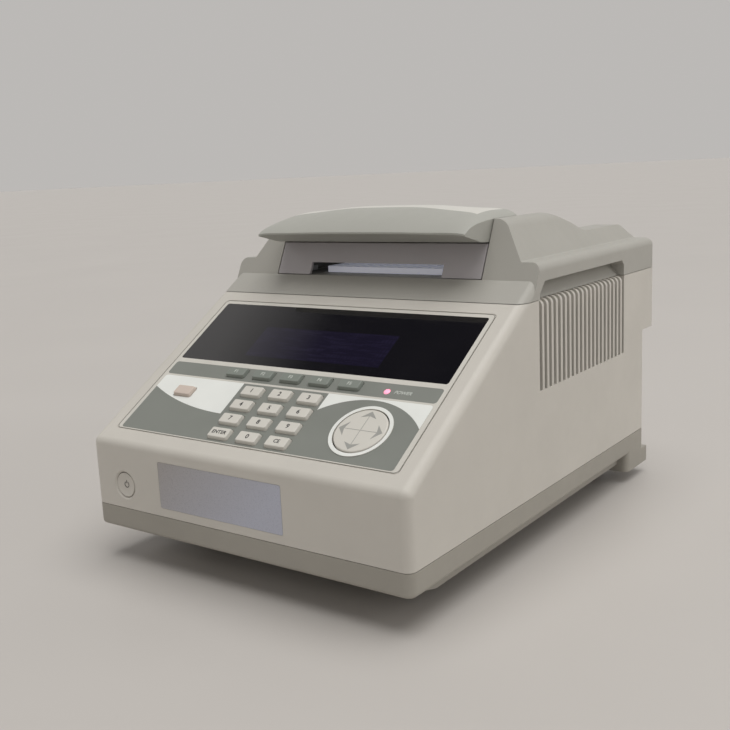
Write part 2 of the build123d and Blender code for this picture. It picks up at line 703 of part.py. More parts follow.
panel_top = LID_DECK_Z - 0.6
panel_outline = [
    (lean_y(LID_BOTTOM), LID_BOTTOM),
    (lean_y(panel_top), panel_top),
    (lean_y(panel_top) + PANEL_THICK, panel_top),
    (lean_y(LID_BOTTOM) + PANEL_THICK, LID_BOTTOM),
]
panel_sheet = prism_x(panel_outline, LID_X)
with BuildPart() as lid_front_panel:
    add(panel_sheet)
    cuboid((-SLOT_HALF, SLOT_HALF), (LEDGE_Y - 5, 0), (FLOOR_Z, SLOT_TOP), mode=Mode.SUBTRACT)
save(lid_front_panel, "lid_front_panel")

carriage_front = [lean_y(z) + PANEL_THICK for z in (LID_BOTTOM, LID_DECK_Z)]
carriage_body = prism_x(
    [
        (carriage_front[0], LID_BOTTOM),
        (carriage_front[1], panel_top),
        (LID_REAR - 4, panel_top),
        (LID_REAR, LID_DECK_Z - 8),
        (LID_REAR, LID_BOTTOM),
    ],
    LID_X,
)
carriage_void = prism_x(
    [
        (carriage_front[0] - 10, LID_BOTTOM - 1),
        (carriage_front[0] - 10, panel_top - LID_WALL),
        (LID_REAR - 6, panel_top - LID_WALL),
        (LID_REAR - LID_WALL, LID_DECK_Z - 10),
        (LID_REAR - LID_WALL, LID_BOTTOM - 1),
    ],
    LID_X - LID_WALL,
)
cowl_outline = [
    (36, LID_DECK_Z - 1),
    (36, 252),
    (66, 252),
    (82, 245),
    (LID_REAR - 4, panel_top),
    (LID_REAR - 4, LID_DECK_Z - 1),
]
with BuildPart() as cowl:
    with BuildSketch(Plane.YZ):
        with BuildLine():
            FilletPolyline(*cowl_outline, radius=[0, 0, 20, 5, 0, 0], close=True)
        make_face()
    extrude(amount=LID_X - 1.5, both=True)
    with BuildSketch(Plane.YZ):
        with Locations((PIVOT_Y, PIVOT_Z)):
            Circle(LEVER_SWEEP)
    extrude(amount=LID_X, both=True, mode=Mode.SUBTRACT)
    fillet(cowl.faces().sort_by(Axis.X)[-1].edges().sort_by(Axis.Z)[-1], 1.2)
    fillet(cowl.faces().sort_by(Axis.X)[0].edges().sort_by(Axis.Z)[-1], 1.2)
    cuboid((-96, 96), (45, 62), (LID_DECK_Z - 1, 248), mode=Mode.SUBTRACT)

EAR_RADIUS = 6.2
ear_outline = [
    (PIVOT_Y - 13, LID_DECK_Z - 1),
    (PIVOT_Y + 8, LID_DECK_Z - 1),
    (PIVOT_Y + EAR_RADIUS - 0.5, PIVOT_Z),
    (PIVOT_Y - EAR_RADIUS + 0.5, PIVOT_Z),
]
with BuildPart() as lid_carriage:
    add(carriage_body)
    add(carriage_void, mode=Mode.SUBTRACT)
    add(cowl.part)
    for side in (-1, 1):
        with BuildSketch(Plane.YZ.offset(side * EAR_X[0])):
            with BuildLine():
                Polyline(*ear_outline, close=True)
            make_face()
            with Locations((PIVOT_Y, PIVOT_Z)):
                Circle(EAR_RADIUS)
            with Locations((PIVOT_Y, PIVOT_Z)):
                Circle(PIN_RADIUS, mode=Mode.SUBTRACT)
        extrude(amount=side * (EAR_X[1] - EAR_X[0]))
    # studs that the four platen springs sit on
    with BuildSketch(Plane.XY.offset(panel_top - LID_WALL)):
        with Locations((0, BLOCK_Y)):
            with GridLocations(90, 50, 2, 2):
                Circle(1.6)
    extrude(amount=-1.0)
save(lid_carriage, "lid_carriage")

RUNNER_SPOTS = (4.0, 72.0)
RUNNER_LENGTH = 16.0
RUNNER_STEM_X = (90.0, 94.0)     # the stem runs in the deck's slot
RUNNER_FOOT_X = (88.8, 96.6)     # the foot hooks under the deck
RUNNER_FOOT_Z = (200.4, 205.6)
RUNNER_TOP_Z = 213.0
with BuildPart() as lid_runners:
    for side in (-1, 1):
        runner_outline = [
            (side * RUNNER_FOOT_X[0], RUNNER_FOOT_Z[0]),
            (side * RUNNER_FOOT_X[1], RUNNER_FOOT_Z[0]),
            (side * RUNNER_FOOT_X[1], RUNNER_FOOT_Z[1]),
            (side * RUNNER_STEM_X[1], RUNNER_FOOT_Z[1]),
            (side * RUNNER_STEM_X[1], LID_BOTTOM),
            (side * (LID_X - LID_WALL), LID_BOTTOM),
            (side * (LID_X - LID_WALL), RUNNER_TOP_Z),
            (side * RUNNER_STEM_X[0], RUNNER_TOP_Z),
            (side * RUNNER_STEM_X[0], RUNNER_FOOT_Z[1]),
            (side * RUNNER_FOOT_X[0], RUNNER_FOOT_Z[1]),
        ]
        for spot in RUNNER_SPOTS:
            with BuildSketch(Plane.XZ.offset(-spot)):
                with BuildLine():
                    Polyline(*runner_outline, close=True)
                make_face()
            extrude(amount=RUNNER_LENGTH / 2, both=True)
save(lid_runners, "lid_runners")

with BuildPart() as lever_pins:
    for side in (-1, 1):
        with BuildSketch(Plane.YZ.offset(side * EAR_X[0])):
            with Locations((PIVOT_Y, PIVOT_Z)):
                Circle(PIN_RADIUS)
        extrude(amount=side * 15.0)
save(lever_pins, "lever_pins")

LEVER_HALF = 102.5
LEVER_REAR = 31.5
LIP_Y = -52.3
LIP_THICK = 1.4
LEVER_WALL = 3.0
# Stations of the lever's crowned top: y, then height at the middle, at the
# inner edge of the side strip and at the side wall.
CROWN = (
    (LIP_Y, 247.4, 246.4, 245.4),
    (-42.0, 254.2, 251.8, 250.2),
    (-27.0, 260.8, 255.8, 252.9),
    (-6.0, 264.8, 258.6, 254.4),
    (LEVER_REAR, 263.4, 258.6, 254.6),
)
STRIP_X = 96.0
ARCH_POWER = 2.8


def crown_heights(x):
    """Top heights of the lever's stations at a distance x from the middle."""
    across = abs(x)
    heights = []
    for _, middle, strip, side in CROWN:
        if across <= STRIP_X:
            heights.append(middle - (middle - strip) * (across / STRIP_X) ** ARCH_POWER)
        else:
            heights.append(strip - (strip - side) * (across - STRIP_X) / (LEVER_HALF - STRIP_X))
    return heights


def lever_form(half, inset, body):
    """A loft along X of the side views that body(x, top points) gives."""
    with BuildPart() as form:
        for x in (-half, -STRIP_X + inset, -76, -40, 0, 40, 76, STRIP_X - inset, half):
            with BuildSketch(Plane.YZ.offset(x)):
                with BuildLine():
                    body(x)
                make_face()
        loft()
    return form.part


def lever_skin(x):
    """Outer side view of the lever at x: crowned top, sloping underside, round rear foot."""
    heights = crown_heights(x)
    lip_z = heights[0] - LIP_THICK
    tops = [(station[0], height) for station, height in zip(CROWN, heights)]
    Spline(*tops)
    Polyline(
        tops[-1],
        (LEVER_REAR, 245.0),
        (18.0, LID_DECK_Z + 0.4),
        (-14.0, LID_DECK_Z + 0.4),
        (-27.0, LID_DECK_Z + 1.2),
        (LIP_Y, lip_z),
        tops[0],
    )


def lever_hollow(x):
    """Inner side view of the lever at x, open at the bottom behind the visor."""
    heights = crown_heights(x)
    tops = [
        (-41.0, heights[1] - 4.2),
        (-27.0, heights[2] - LEVER_WALL - 0.5),
        (-6.0, heights[3] - LEVER_WALL - 1.0),
        (LEVER_REAR - LEVER_WALL, heights[4] - LEVER_WALL - 1.0),
    ]
    Spline(*tops)
    Polyline(
        tops[-1],
        (LEVER_REAR - LEVER_WALL, 230.0),
        (-10.5, 230.0),
        (-10.5, LID_DECK_Z + 4.0),
        (-27.0, LID_DECK_Z + 4.6),
        tops[0],
    )


lever_outer = lever_form(LEVER_HALF, 0, lever_skin)
lever_void = lever_form(LEVER_HALF - LEVER_WALL, LEVER_WALL, lever_hollow)
INSERT_THICK = 1.6
INSERT_HALF = 93.0
INSERT_FRONT = (-16.0, -8.0)     # y of its front edge, at the ends and at the middle
INSERT_REAR = 27.0

with BuildPart() as lever_top_panel:
    add(lever_outer)
    with BuildSketch(Plane.XY.offset(LID_DECK_Z)):
        with BuildLine():
            front = ThreePointArc(
                (-INSERT_HALF, INSERT_FRONT[0]), (0, INSERT_FRONT[1]), (INSERT_HALF, INSERT_FRONT[0])
            )
            Polyline(front @ 1, (INSERT_HALF, INSERT_REAR), (-INSERT_HALF, INSERT_REAR), front @ 0)
        make_face()
    extrude(amount=60, mode=Mode.INTERSECT)
    add(lever_outer.moved(Location((0, 0, -INSERT_THICK))), mode=Mode.SUBTRACT)
save(lever_top_panel, "lever_top_panel")

with BuildPart() as lever_handle:
    add(lever_outer)
    add(lever_void, mode=Mode.SUBTRACT)
    add(lever_top_panel.part, mode=Mode.SUBTRACT)
    for side in (-1, 1):
        with BuildSketch(Plane.YZ.offset(side * (EAR_X[1] + 0.6))):
            with Locations((PIVOT_Y, PIVOT_Z)):
                Circle(EAR_RADIUS)
        extrude(amount=side * (LEVER_HALF - LEVER_WALL / 2 - EAR_X[1] - 0.6))
        with BuildSketch(Plane.YZ.offset(side * (EAR_X[1] + 0.6))):
            with Locations((PIVOT_Y, PIVOT_Z)):
                Circle(PIN_RADIUS + 0.05)
        extrude(amount=side * 9.0, mode=Mode.SUBTRACT)
        # notch in the rear wall that lets the lever swing past the carriage's ear
        cuboid(
            (side * (EAR_X[0] - 0.8), side * (EAR_X[1] + 0.6)),
            (LEVER_REAR - LEVER_WALL - 1, LEVER_REAR + 1),
            (LID_DECK_Z, PIVOT_Z + 4),
            mode=Mode.SUBTRACT,
        )
save(lever_handle, "lever_handle")

PLATEN_Z = 219.8
PLATEN_THICK = 7.0
HEATER_THICK = 1.2
SPRING_BASE = PLATEN_Z + PLATEN_THICK + HEATER_THICK
with BuildPart() as heated_platen:
    with BuildSketch(Plane.XY.offset(PLATEN_Z)):
        with Locations((0, BLOCK_Y)):
            RectangleRounded(124, 82, 3)
    extrude(amount=PLATEN_THICK)
    chamfer(heated_platen.faces().sort_by(Axis.Z)[0].edges(), 1.0)
save(heated_platen, "heated_platen")

with BuildPart() as platen_heater:
    with BuildSketch(Plane.XY.offset(PLATEN_Z + PLATEN_THICK)):
        with Locations((0, BLOCK_Y)):
            RectangleRounded(118, 76, 3)
    extrude(amount=HEATER_THICK)
save(platen_heater, "platen_heater")

with BuildPart() as platen_springs:
    with BuildSketch(Plane.XY.offset(SPRING_BASE)):
        with Locations((0, BLOCK_Y)):
            with GridLocations(90, 50, 2, 2):
                Circle(3.6)
                Circle(2.4, mode=Mode.SUBTRACT)
    extrude(amount=panel_top - LID_WALL - SPRING_BASE)
save(platen_springs, "platen_springs")

# ---- Sample block stack ------------------------------------------------------
BLOCK_TOP_Z = 212.0
BLOCK_HEIGHT = 24.0
WELL_DEPTH = 14.5
WELL_TOP_R = 3.15
WELL_FOOT_R = 1.35
WELL_FIT = 0.15
PLATE_TOP_Z = 214.6
PELTIER_THICK = 3.8
SINK_TOP = BLOCK_TOP_Z - BLOCK_HEIGHT - PELTIER_THICK
SINK_FOOT = 116.0
SINK_BASE = 8.0

with BuildPart() as sample_block:
    with BuildSketch(Plane.XY.offset(BLOCK_TOP_Z - BLOCK_HEIGHT)):
        with Locations((0, BLOCK_Y)):
            Rectangle(122, 80)
    extrude(amount=BLOCK_HEIGHT)
    with Locations((0, BLOCK_Y, BLOCK_TOP_Z - WELL_DEPTH / 2)):
        with GridLocations(WELL_PITCH, WELL_PITCH, WELLS_X, WELLS_Y):
            Cone(WELL_FOOT_R, WELL_TOP_R, WELL_DEPTH, mode=Mode.SUBTRACT)
save(sample_block, "sample_block")

with BuildPart() as sample_plate:
    with BuildSketch(Plane.XY.offset(FLOOR_Z + 0.3)):
        with Locations((0, BLOCK_Y)):
            RectangleRounded(127.8, 85.5, 3)
    extrude(amount=PLATE_TOP_Z - FLOOR_Z - 0.3)
    with BuildSketch(Plane.XY.offset(FLOOR_Z)):
        with Locations((0, BLOCK_Y)):
            Rectangle(123, 81)
    extrude(amount=BLOCK_TOP_Z - FLOOR_Z, mode=Mode.SUBTRACT)
    fillet(sample_plate.faces().sort_by(Axis.Z)[-1].edges(), 0.6)
    with Locations((0, BLOCK_Y, BLOCK_TOP_Z + 0.2 - WELL_DEPTH / 2)):
        with GridLocations(WELL_PITCH, WELL_PITCH, WELLS_X, WELLS_Y):
            Cone(WELL_FOOT_R - WELL_FIT, WELL_TOP_R - WELL_FIT, WELL_DEPTH - 0.4)
save(sample_plate, "sample_plate")

with BuildPart() as drip_seal:
    with BuildSketch(Plane.XY.offset(FLOOR_Z - DECK_WALL)):
        with Locations((0, BLOCK_Y)):
            RectangleRounded(133.4, 91.4, 3)
            Rectangle(122.2, 80.2, mode=Mode.SUBTRACT)
    extrude(amount=2.2)
save(drip_seal, "drip_seal")

with BuildPart() as block_surround:
    with BuildSketch(Plane.XY.offset(SINK_TOP)):
        with Locations((0, BLOCK_Y)):
            Rectangle(152, 110)
            Rectangle(123, 81, mode=Mode.SUBTRACT)
    extrude(amount=FLOOR_Z - DECK_WALL - SINK_TOP)
save(block_surround, "block_surround")

with BuildPart() as peltier_modules:
    with BuildSketch(Plane.XY.offset(SINK_TOP)):
        with Locations((0, BLOCK_Y)):
            with GridLocations(40.4, 39.6, 3, 2):
                Rectangle(39.4, 39.0)
    extrude(amount=PELTIER_THICK)
save(peltier_modules, "peltier_modules")

with BuildPart() as heatsink:
    with BuildSketch(Plane.XY.offset(SINK_TOP - SINK_BASE)):
        with Locations((0, BLOCK_Y)):
            Rectangle(152, 110)
    extrude(amount=SINK_BASE)
    with BuildSketch(Plane.XY.offset(SINK_FOOT)):
        with Locations((0, BLOCK_Y)):
            with GridLocations(8, 1, 19, 1):
                Rectangle(2.2, 110)
    extrude(amount=SINK_TOP - SINK_BASE - SINK_FOOT)
save(heatsink, "heatsink")

# ---- Air path and rear panel ---------------------------------------------------
PANEL_REAR = 189.8
PANEL_SHEET = 1.5
PANEL_Z = (25.0, 138.4)
FAN_Z = 90.0
FAN_SIZE = 80.0
FAN_DEPTH = 25.0
FAN_REAR = PANEL_REAR - PANEL_SHEET
FAN_FRONT = FAN_REAR - FAN_DEPTH
FAN_BORE = 38.0
FAN_HUB = 15.0
FAN_HOLES = 71.5
DUCT_WALL = 1.2
INLET_SPOT = (-98.0, 62.0)
SERIAL_SPOT = (96.0, 62.0)


def duct_form(grow):
    """Air duct from the heatsink's rear to the fan, outer form grown by grow."""
    with BuildPart() as form:
        with BuildSketch(Plane.XZ.offset(-(BLOCK_Y + 55.2))):
            with Locations((0, (SINK_FOOT + SINK_TOP) / 2)):
                Rectangle(152 + 2 * grow, SINK_TOP - SINK_FOOT + 2 * grow)
        with BuildSketch(Plane.XZ.offset(-FAN_FRONT + 0.2)):
            with Locations((0, FAN_Z)):
                Rectangle(FAN_SIZE - 3 + 2 * grow, FAN_SIZE - 3 + 2 * grow)
        loft()
    return form.part


duct_outer = duct_form(DUCT_WALL)
duct_inner = duct_form(0)
with BuildPart() as air_duct:
    add(duct_outer)
    add(duct_inner, mode=Mode.SUBTRACT)
save(air_duct, "air_duct")

with BuildPart() as fan_housing:
    with BuildSketch(Plane.XZ.offset(-FAN_FRONT)):
        with Locations((0, FAN_Z)):
            RectangleRounded(FAN_SIZE, FAN_SIZE, 4)
            Circle(FAN_BORE, mode=Mode.SUBTRACT)
            with GridLocations(FAN_HOLES, FAN_HOLES, 2, 2):
                Circle(2.2, mode=Mode.SUBTRACT)
    extrude(amount=-(FAN_REAR - FAN_FRONT))
    # motor mount and its four struts
    with BuildSketch(Plane.XZ.offset(-(FAN_REAR - 4))):
        with Locations((0, FAN_Z)):
            Circle(FAN_HUB)
            with PolarLocations((FAN_BORE + FAN_HUB) / 2, 4, start_angle=20):
                Rectangle(FAN_BORE - FAN_HUB + 2, 4)
            Circle(1.6, mode=Mode.SUBTRACT)
    extrude(amount=-4)
save(fan_housing, "fan_housing")

BLADES = 7
with BuildPart() as fan_rotor:
    with BuildSketch(Plane.XZ.offset(-(FAN_FRONT + 2))):
        with Locations((0, FAN_Z)):
            Circle(FAN_HUB)
    extrude(amount=-(FAN_DEPTH - 6.6))
    for blade in range(BLADES):
        direction = Vector(1, 0, 0).rotate(Axis.Y, blade * 360 / BLADES)
        blade_root = Plane(
            origin=Vector(0, FAN_FRONT + 11, FAN_Z) + direction * (FAN_HUB - 1.5),
            x_dir=direction.cross(Vector(0, 1, 0)),
            z_dir=direction,
        )
        with BuildSketch(blade_root):
            Rectangle(15, 1.8, rotation=38)
        extrude(amount=FAN_BORE - FAN_HUB)
    with BuildSketch(Plane.XZ.offset(-(FAN_REAR - 5))):
        with Locations((0, FAN_Z)):
            Circle(1.55)
    extrude(amount=-4)
save(fan_rotor, "fan_rotor")

PANEL_HALF = 148.4
with BuildPart() as rear_panel:
    cuboid((-PANEL_HALF, PANEL_HALF), (LOWER_REAR_Y + 0.2, PANEL_REAR), PANEL_Z)
    cuboid(
        (-PANEL_HALF + PANEL_SHEET, PANEL_HALF - PANEL_SHEET),
        (LOWER_REAR_Y, PANEL_REAR - PANEL_SHEET),
        (PANEL_Z[0] + PANEL_SHEET, PANEL_Z[1] - PANEL_SHEET),
        mode=Mode.SUBTRACT,
    )
    with BuildSketch(Plane.XZ.offset(-PANEL_REAR)):
        with Locations((0, FAN_Z)):
            Circle(FAN_BORE)
            with GridLocations(FAN_HOLES, FAN_HOLES, 2, 2):
                Circle(2.2)
        with Locations(INLET_SPOT):
            Rectangle(28.0, 21.0)
        with Locations(SERIAL_SPOT):
            Rectangle(20.0, 11.5)
        with Locations((-98, 108), (98, 108)):
            with GridLocations(7, 1, 9, 1):
                SlotOverall(26, 3.2, rotation=90)
    extrude(amount=5, mode=Mode.SUBTRACT)
save(rear_panel, "rear_panel")

with BuildPart() as fan_guard:
    with BuildSketch(Plane.XZ.offset(-PANEL_REAR)):
        with Locations((0, FAN_Z)):
            for ring in reversed(range(5)):
                radius = 8 + 7.4 * ring
                Circle(radius)
                Circle(radius - 1.8, mode=Mode.SUBTRACT)
            with PolarLocations(FAN_HOLES / 4 * 2 ** 0.5 + 3, 4, start_angle=45):
                Rectangle(FAN_HOLES / 2 * 2 ** 0.5 - 6, 2.2)
            with GridLocations(FAN_HOLES, FAN_HOLES, 2, 2):
                Circle(4.5)
                Circle(2.2, mode=Mode.SUBTRACT)
    extrude(amount=-1.8)
save(fan_guard, "fan_guard")

INLET_BODY = (27.4, 20.4)
INLET_MOUTH = (24.4, 16.4)
INLET_DEEP = 16.0
FLANGE = 2.4
with BuildPart() as power_inlet:
    with BuildSketch(Plane.XZ.offset(-PANEL_REAR)):
        with Locations(INLET_SPOT):
            RectangleRounded(INLET_BODY[0] + 5, INLET_BODY[1] + 5, 2.5)
    extrude(amount=-FLANGE)
    with BuildSketch(Plane.XZ.offset(-PANEL_REAR)):
        with Locations(INLET_SPOT):
            Rectangle(*INLET_BODY)
    extrude(amount=18)
    with BuildSketch(Plane.XZ.offset(-PANEL_REAR - FLANGE)):
        with Locations(INLET_SPOT):
            RectangleRounded(*INLET_MOUTH, 2)
    extrude(amount=INLET_DEEP, mode=Mode.SUBTRACT)
    with BuildSketch(Plane.XZ.offset(-PANEL_REAR - FLANGE + INLET_DEEP)):
        with Locations(INLET_SPOT):
            with Locations((-7, -2), (7, -2), (0, 2.5)):
                Rectangle(2, 4)
    extrude(amount=-12)
save(power_inlet, "power_inlet")

with BuildPart() as serial_port:
    with BuildSketch(Plane.XZ.offset(-PANEL_REAR)):
        with Locations(SERIAL_SPOT):
            Rectangle(19.4, 10.9)
    extrude(amount=10)
    with BuildSketch(Plane.XZ.offset(-PANEL_REAR)):
        with Locations(SERIAL_SPOT):
            RectangleRounded(30.8, 12.5, 1)
    extrude(amount=-1)
    with BuildSketch(Plane.XZ.offset(-PANEL_REAR - 1)):
        with Locations(SERIAL_SPOT):
            Trapezoid(17, 8.4, 80, rotation=180)
            for row, pins in ((1.4, 5), (-1.4, 4)):
                with Locations((0, row)):
                    with GridLocations(2.75, 1, pins, 1):
                        Circle(0.55, mode=Mode.SUBTRACT)
            with GridLocations(25, 1, 2, 1):
                RegularPolygon(2.7, 6)
    extrude(amount=-5.5)
save(serial_port, "serial_port")

# ---- Electronics on the base ---------------------------------------------------
SUPPLY_TOP = 66.0
with BuildPart() as power_supply:
    cuboid((-134, -54), (-20, 140), (PAN_FLOOR, SUPPLY_TOP))
    fillet(power_supply.edges().filter_by(Axis.Z), 1.0)
    with BuildSketch(Plane.XY.offset(SUPPLY_TOP)):
        with Locations((-94, 60)):
            with GridLocations(9, 1, 7, 1):
                SlotOverall(120, 4, rotation=90)
    extrude(amount=-3, mode=Mode.SUBTRACT)
save(power_supply, "power_supply")

BOARD_TOP = BOARD_Z + BOARD_THICK
with BuildPart() as main_board:
    cuboid((-46, 126), (-58, 133), (BOARD_Z, BOARD_TOP))
    with BuildSketch(Plane.XY.offset(BOARD_Z)):
        with Locations(*BOARD_POSTS):
            Circle(1.25)
    extrude(amount=BOARD_THICK, mode=Mode.SUBTRACT)
    # power stage heatsink with its fins, capacitors, cable header, chips
    cuboid((20, 100), (70, 96), (BOARD_TOP, BOARD_TOP + 4))
    with BuildSketch(Plane.XY.offset(BOARD_TOP)):
        with Locations((60, 83)):
            with GridLocations(7.5, 1, 11, 1):
                Rectangle(1.6, 26)
    extrude(amount=24)
    with BuildSketch(Plane.XY.offset(BOARD_TOP)):
        with Locations((-10, 40)):
            with GridLocations(22, 22, 2, 3):
                Circle(8)
    extrude(amount=26)
    with BuildSketch(Plane.XY.offset(BOARD_TOP)):
        with Locations((CONNECTOR_SPOT[0], -50)):
            Rectangle(*CONNECTOR_SIZE)
    extrude(amount=CONNECTOR_HEIGHT)
    with BuildSketch(Plane.XY.offset(BOARD_TOP)):
        with Locations((75, 5)):
            with GridLocations(36, 32, 3, 3):
                Rectangle(20, 20)
    extrude(amount=3)
save(main_board, "main_board")

CONNECTOR_DEEP = BOARD_OFFSET + BOARD_THICK + CONNECTOR_HEIGHT
cable_start = CONSOLE.from_local_coords(Vector(0, CONNECTOR_SPOT[1], -CONNECTOR_DEEP))
cable_drop = cable_start - CONSOLE.z_dir * 26
cable_route = [
    (cable_start.Y, cable_start.Z),
    (cable_drop.Y, cable_drop.Z),
    (-115, 62),
    (-50, 66),
    (-50, BOARD_TOP + CONNECTOR_HEIGHT),
]
with BuildPart() as ribbon_cable:
    with BuildSketch(Plane.YZ.offset(CONNECTOR_SPOT[0])):
        with BuildLine():
            FilletPolyline(*cable_route, radius=9)
        trace(line_width=1.0)
    extrude(amount=12.5, both=True)
save(ribbon_cable, "ribbon_cable")

SCREW_RADIUS = 2.0
HEAD_RADIUS = 3.8
HEAD_HEIGHT = 2.4
with BuildPart() as case_screws:
    with BuildSketch(Plane.XY.offset(SKID_Z - FOOT_SEAT)):
        with Locations(*FOOT_SPOTS):
            Circle(SCREW_RADIUS)
    extrude(amount=14)
    with BuildSketch(Plane.XY.offset(SKID_Z - FOOT_SEAT - HEAD_HEIGHT)):
        with Locations(*FOOT_SPOTS):
            Circle(HEAD_RADIUS)
    extrude(amount=HEAD_HEIGHT)
    # fan screws, through the guard and the rear panel into the fan
    with BuildSketch(Plane.XZ.offset(-PANEL_REAR - 1.8)):
        with Locations((0, FAN_Z)):
            with GridLocations(FAN_HOLES, FAN_HOLES, 2, 2):
                Circle(HEAD_RADIUS)
    extrude(amount=-HEAD_HEIGHT)
    with BuildSketch(Plane.XZ.offset(-PANEL_REAR - 1.8)):
        with Locations((0, FAN_Z)):
            with GridLocations(FAN_HOLES, FAN_HOLES, 2, 2):
                Circle(SCREW_RADIUS)
    extrude(amount=20)
save(case_screws, "case_screws")
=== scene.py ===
"""The looks of a bench thermal cycler, in metres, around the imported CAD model."""

import cmath
import json
import math

import bpy
from mathutils import Matrix, Vector


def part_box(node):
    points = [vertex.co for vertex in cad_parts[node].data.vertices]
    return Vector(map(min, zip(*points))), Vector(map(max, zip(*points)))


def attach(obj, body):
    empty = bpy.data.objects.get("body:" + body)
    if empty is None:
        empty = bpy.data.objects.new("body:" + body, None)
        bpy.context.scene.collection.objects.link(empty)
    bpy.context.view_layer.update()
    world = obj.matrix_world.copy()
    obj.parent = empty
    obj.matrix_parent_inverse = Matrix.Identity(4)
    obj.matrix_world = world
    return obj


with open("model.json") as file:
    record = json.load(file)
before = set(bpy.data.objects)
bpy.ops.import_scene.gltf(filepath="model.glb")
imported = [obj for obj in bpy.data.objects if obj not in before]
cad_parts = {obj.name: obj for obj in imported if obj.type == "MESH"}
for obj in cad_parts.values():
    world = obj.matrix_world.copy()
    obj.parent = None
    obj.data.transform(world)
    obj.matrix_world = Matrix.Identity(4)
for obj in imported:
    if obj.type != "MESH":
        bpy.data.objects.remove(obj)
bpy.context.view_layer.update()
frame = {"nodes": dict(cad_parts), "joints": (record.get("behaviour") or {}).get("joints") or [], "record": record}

MM = 0.001
WELL_PITCH = 9 * MM
WELL_RADIUS = 3.1 * MM
WHITE = (255, 255, 255)

# Colours as 0-255 screen values.
COVER_BEIGE = (202, 198, 190)
DECK_GREY = (171, 169, 162)
VISOR_GREY = (171, 171, 164)
BASE_GREY = (160, 156, 147)
TOP_CREAM = (214, 212, 205)
LID_GREY = (170, 166, 168)
FILM_BEIGE = (207, 204, 196)
PRINT_GREY = (129, 132, 126)
PRINT_WHITE = (233, 235, 231)
# painted shadow along the overlay film's edge
EDGE_SHADOW_GREY = (122, 118, 110)
PRINT_DARK = (38, 38, 38)
LEGEND_LIGHT = (196, 200, 194)
# painted light on the label: its shaded upper-left tone and its lit lower-right tone
LABEL_SHADED_CORNER = (158, 152, 146)
LABEL_LIT_CORNER = (182, 185, 199)
KEY_LIGHT = (211, 208, 200)
KEY_GREY = (128, 134, 127)
KEY_STOP = (208, 193, 182)
ARROW_GREY = (158, 158, 153)
BLACK = (34, 34, 35)
STEEL = (176, 176, 174)
ALUMINIUM = (200, 201, 203)
ZINC = (172, 175, 178)
REAR_PAINT = (196, 192, 183)
RUBBER_BLACK = (38, 38, 40)
SILICONE_GREY = (178, 178, 174)
BOARD_GREEN = (28, 96, 58)
CABLE_GREY = (166, 166, 164)
NATURAL_WHITE = (226, 226, 222)
LAMP_PINK = (250, 150, 176)
PLATE_WHITE = (236, 238, 250)

# Light from the screen and the tint of its smoked glass, as linear colours.
SCREEN_DARK = (0.002, 0.0015, 0.005, 1)
SCREEN_UNLIT = (0.003, 0.002, 0.009, 1)
SCREEN_LIT = (0.008, 0.006, 0.020, 1)
GLASS_TINT = (0.006, 0.005, 0.010, 1)

KEYPAD = {
    "key_1": "1",
    "key_2": "2",
    "key_3": "3",
    "key_4": "4",
    "key_5": "5",
    "key_6": "6",
    "key_7": "7",
    "key_8": "8",
    "key_9": "9",
    "key_enter": "ENTER",
    "key_0": "0",
    "key_clear": "CE",
}
F_KEYS = {f"f_key_{number}": f"F{number}" for number in range(1, 6)}


# ---- Shader building blocks --------------------------------------------------
def linear(colour, factor=1.0):
    """A 0-255 screen colour as the linear RGBA that a shader takes, times factor."""
    channels = []
    for channel in colour:
        share = channel / 255
        flat = share / 12.92 if share <= 0.04045 else ((share + 0.055) / 1.055) ** 2.4
        channels.append(min(flat * factor, 1.0))
    return (*channels, 1.0)


def new_material(name):
    """An empty node material: the material, its tree and its Principled shader."""
    made = bpy.data.materials.new(name)
    made.use_nodes = True
    tree = made.node_tree
    return made, tree, tree.nodes["Principled BSDF"]


def add_node(tree, kind, inputs=None, **properties):
    """A node with its properties set and its inputs given as values or as links."""
    node = tree.nodes.new(kind)
    for key, value in properties.items():
        setattr(node, key, value)
    connect(tree, node, inputs or {})
    return node


def connect(tree, node, inputs):
    for key, value in inputs.items():
        if isinstance(value, bpy.types.NodeSocket):
            tree.links.new(value, node.inputs[key])
        else:
            node.inputs[key].default_value = value


def object_point(tree):
    return add_node(tree, "ShaderNodeTexCoord").outputs["Object"]


def noise(tree, point, size, detail=2.0, roughness=0.5):
    """Noise whose features are about size metres across."""
    inputs = {"Vector": point, "Scale": 1 / size, "Detail": detail, "Roughness": roughness}
    return add_node(tree, "ShaderNodeTexNoise", inputs).outputs["Fac"]


def remap(tree, value, low, high, new_low, new_high):
    inputs = {"Value": value, 1: low, 2: high, 3: new_low, 4: new_high}
    return add_node(tree, "ShaderNodeMapRange", inputs).outputs[0]


def multiply(tree, first, second):
    return add_node(tree, "ShaderNodeMath", {0: first, 1: second}, operation="MULTIPLY").outputs[0]


def mix_colour(tree, factor, first, second):
    node = add_node(tree, "ShaderNodeMix", data_type="RGBA")
    connect(tree, node, {0: factor, 6: first, 7: second})
    return node.outputs[2]


def stretched(tree, point, x, y, z):
    """The point with each axis scaled, for brushed or ribbed patterns."""
    inputs = {"Vector": point, "Scale": (x, y, z)}
    return add_node(tree, "ShaderNodeMapping", inputs).outputs["Vector"]


def rounded_normal(tree, radius):
    """A normal that softens every sharp edge, as a moulding's small radius does."""
    return add_node(tree, "ShaderNodeBevel", {"Radius": radius}, samples=4).outputs["Normal"]


def edge_mask(tree, radius):
    """0 on flat faces, rising to 1 along convex and concave edges."""
    true_normal = add_node(tree, "ShaderNodeNewGeometry").outputs["Normal"]
    inputs = {0: rounded_normal(tree, radius), 1: true_normal}
    aligned = add_node(tree, "ShaderNodeVectorMath", inputs, operation="DOT_PRODUCT")
    return remap(tree, aligned.outputs["Value"], 0.995, 0.85, 0.0, 1.0)


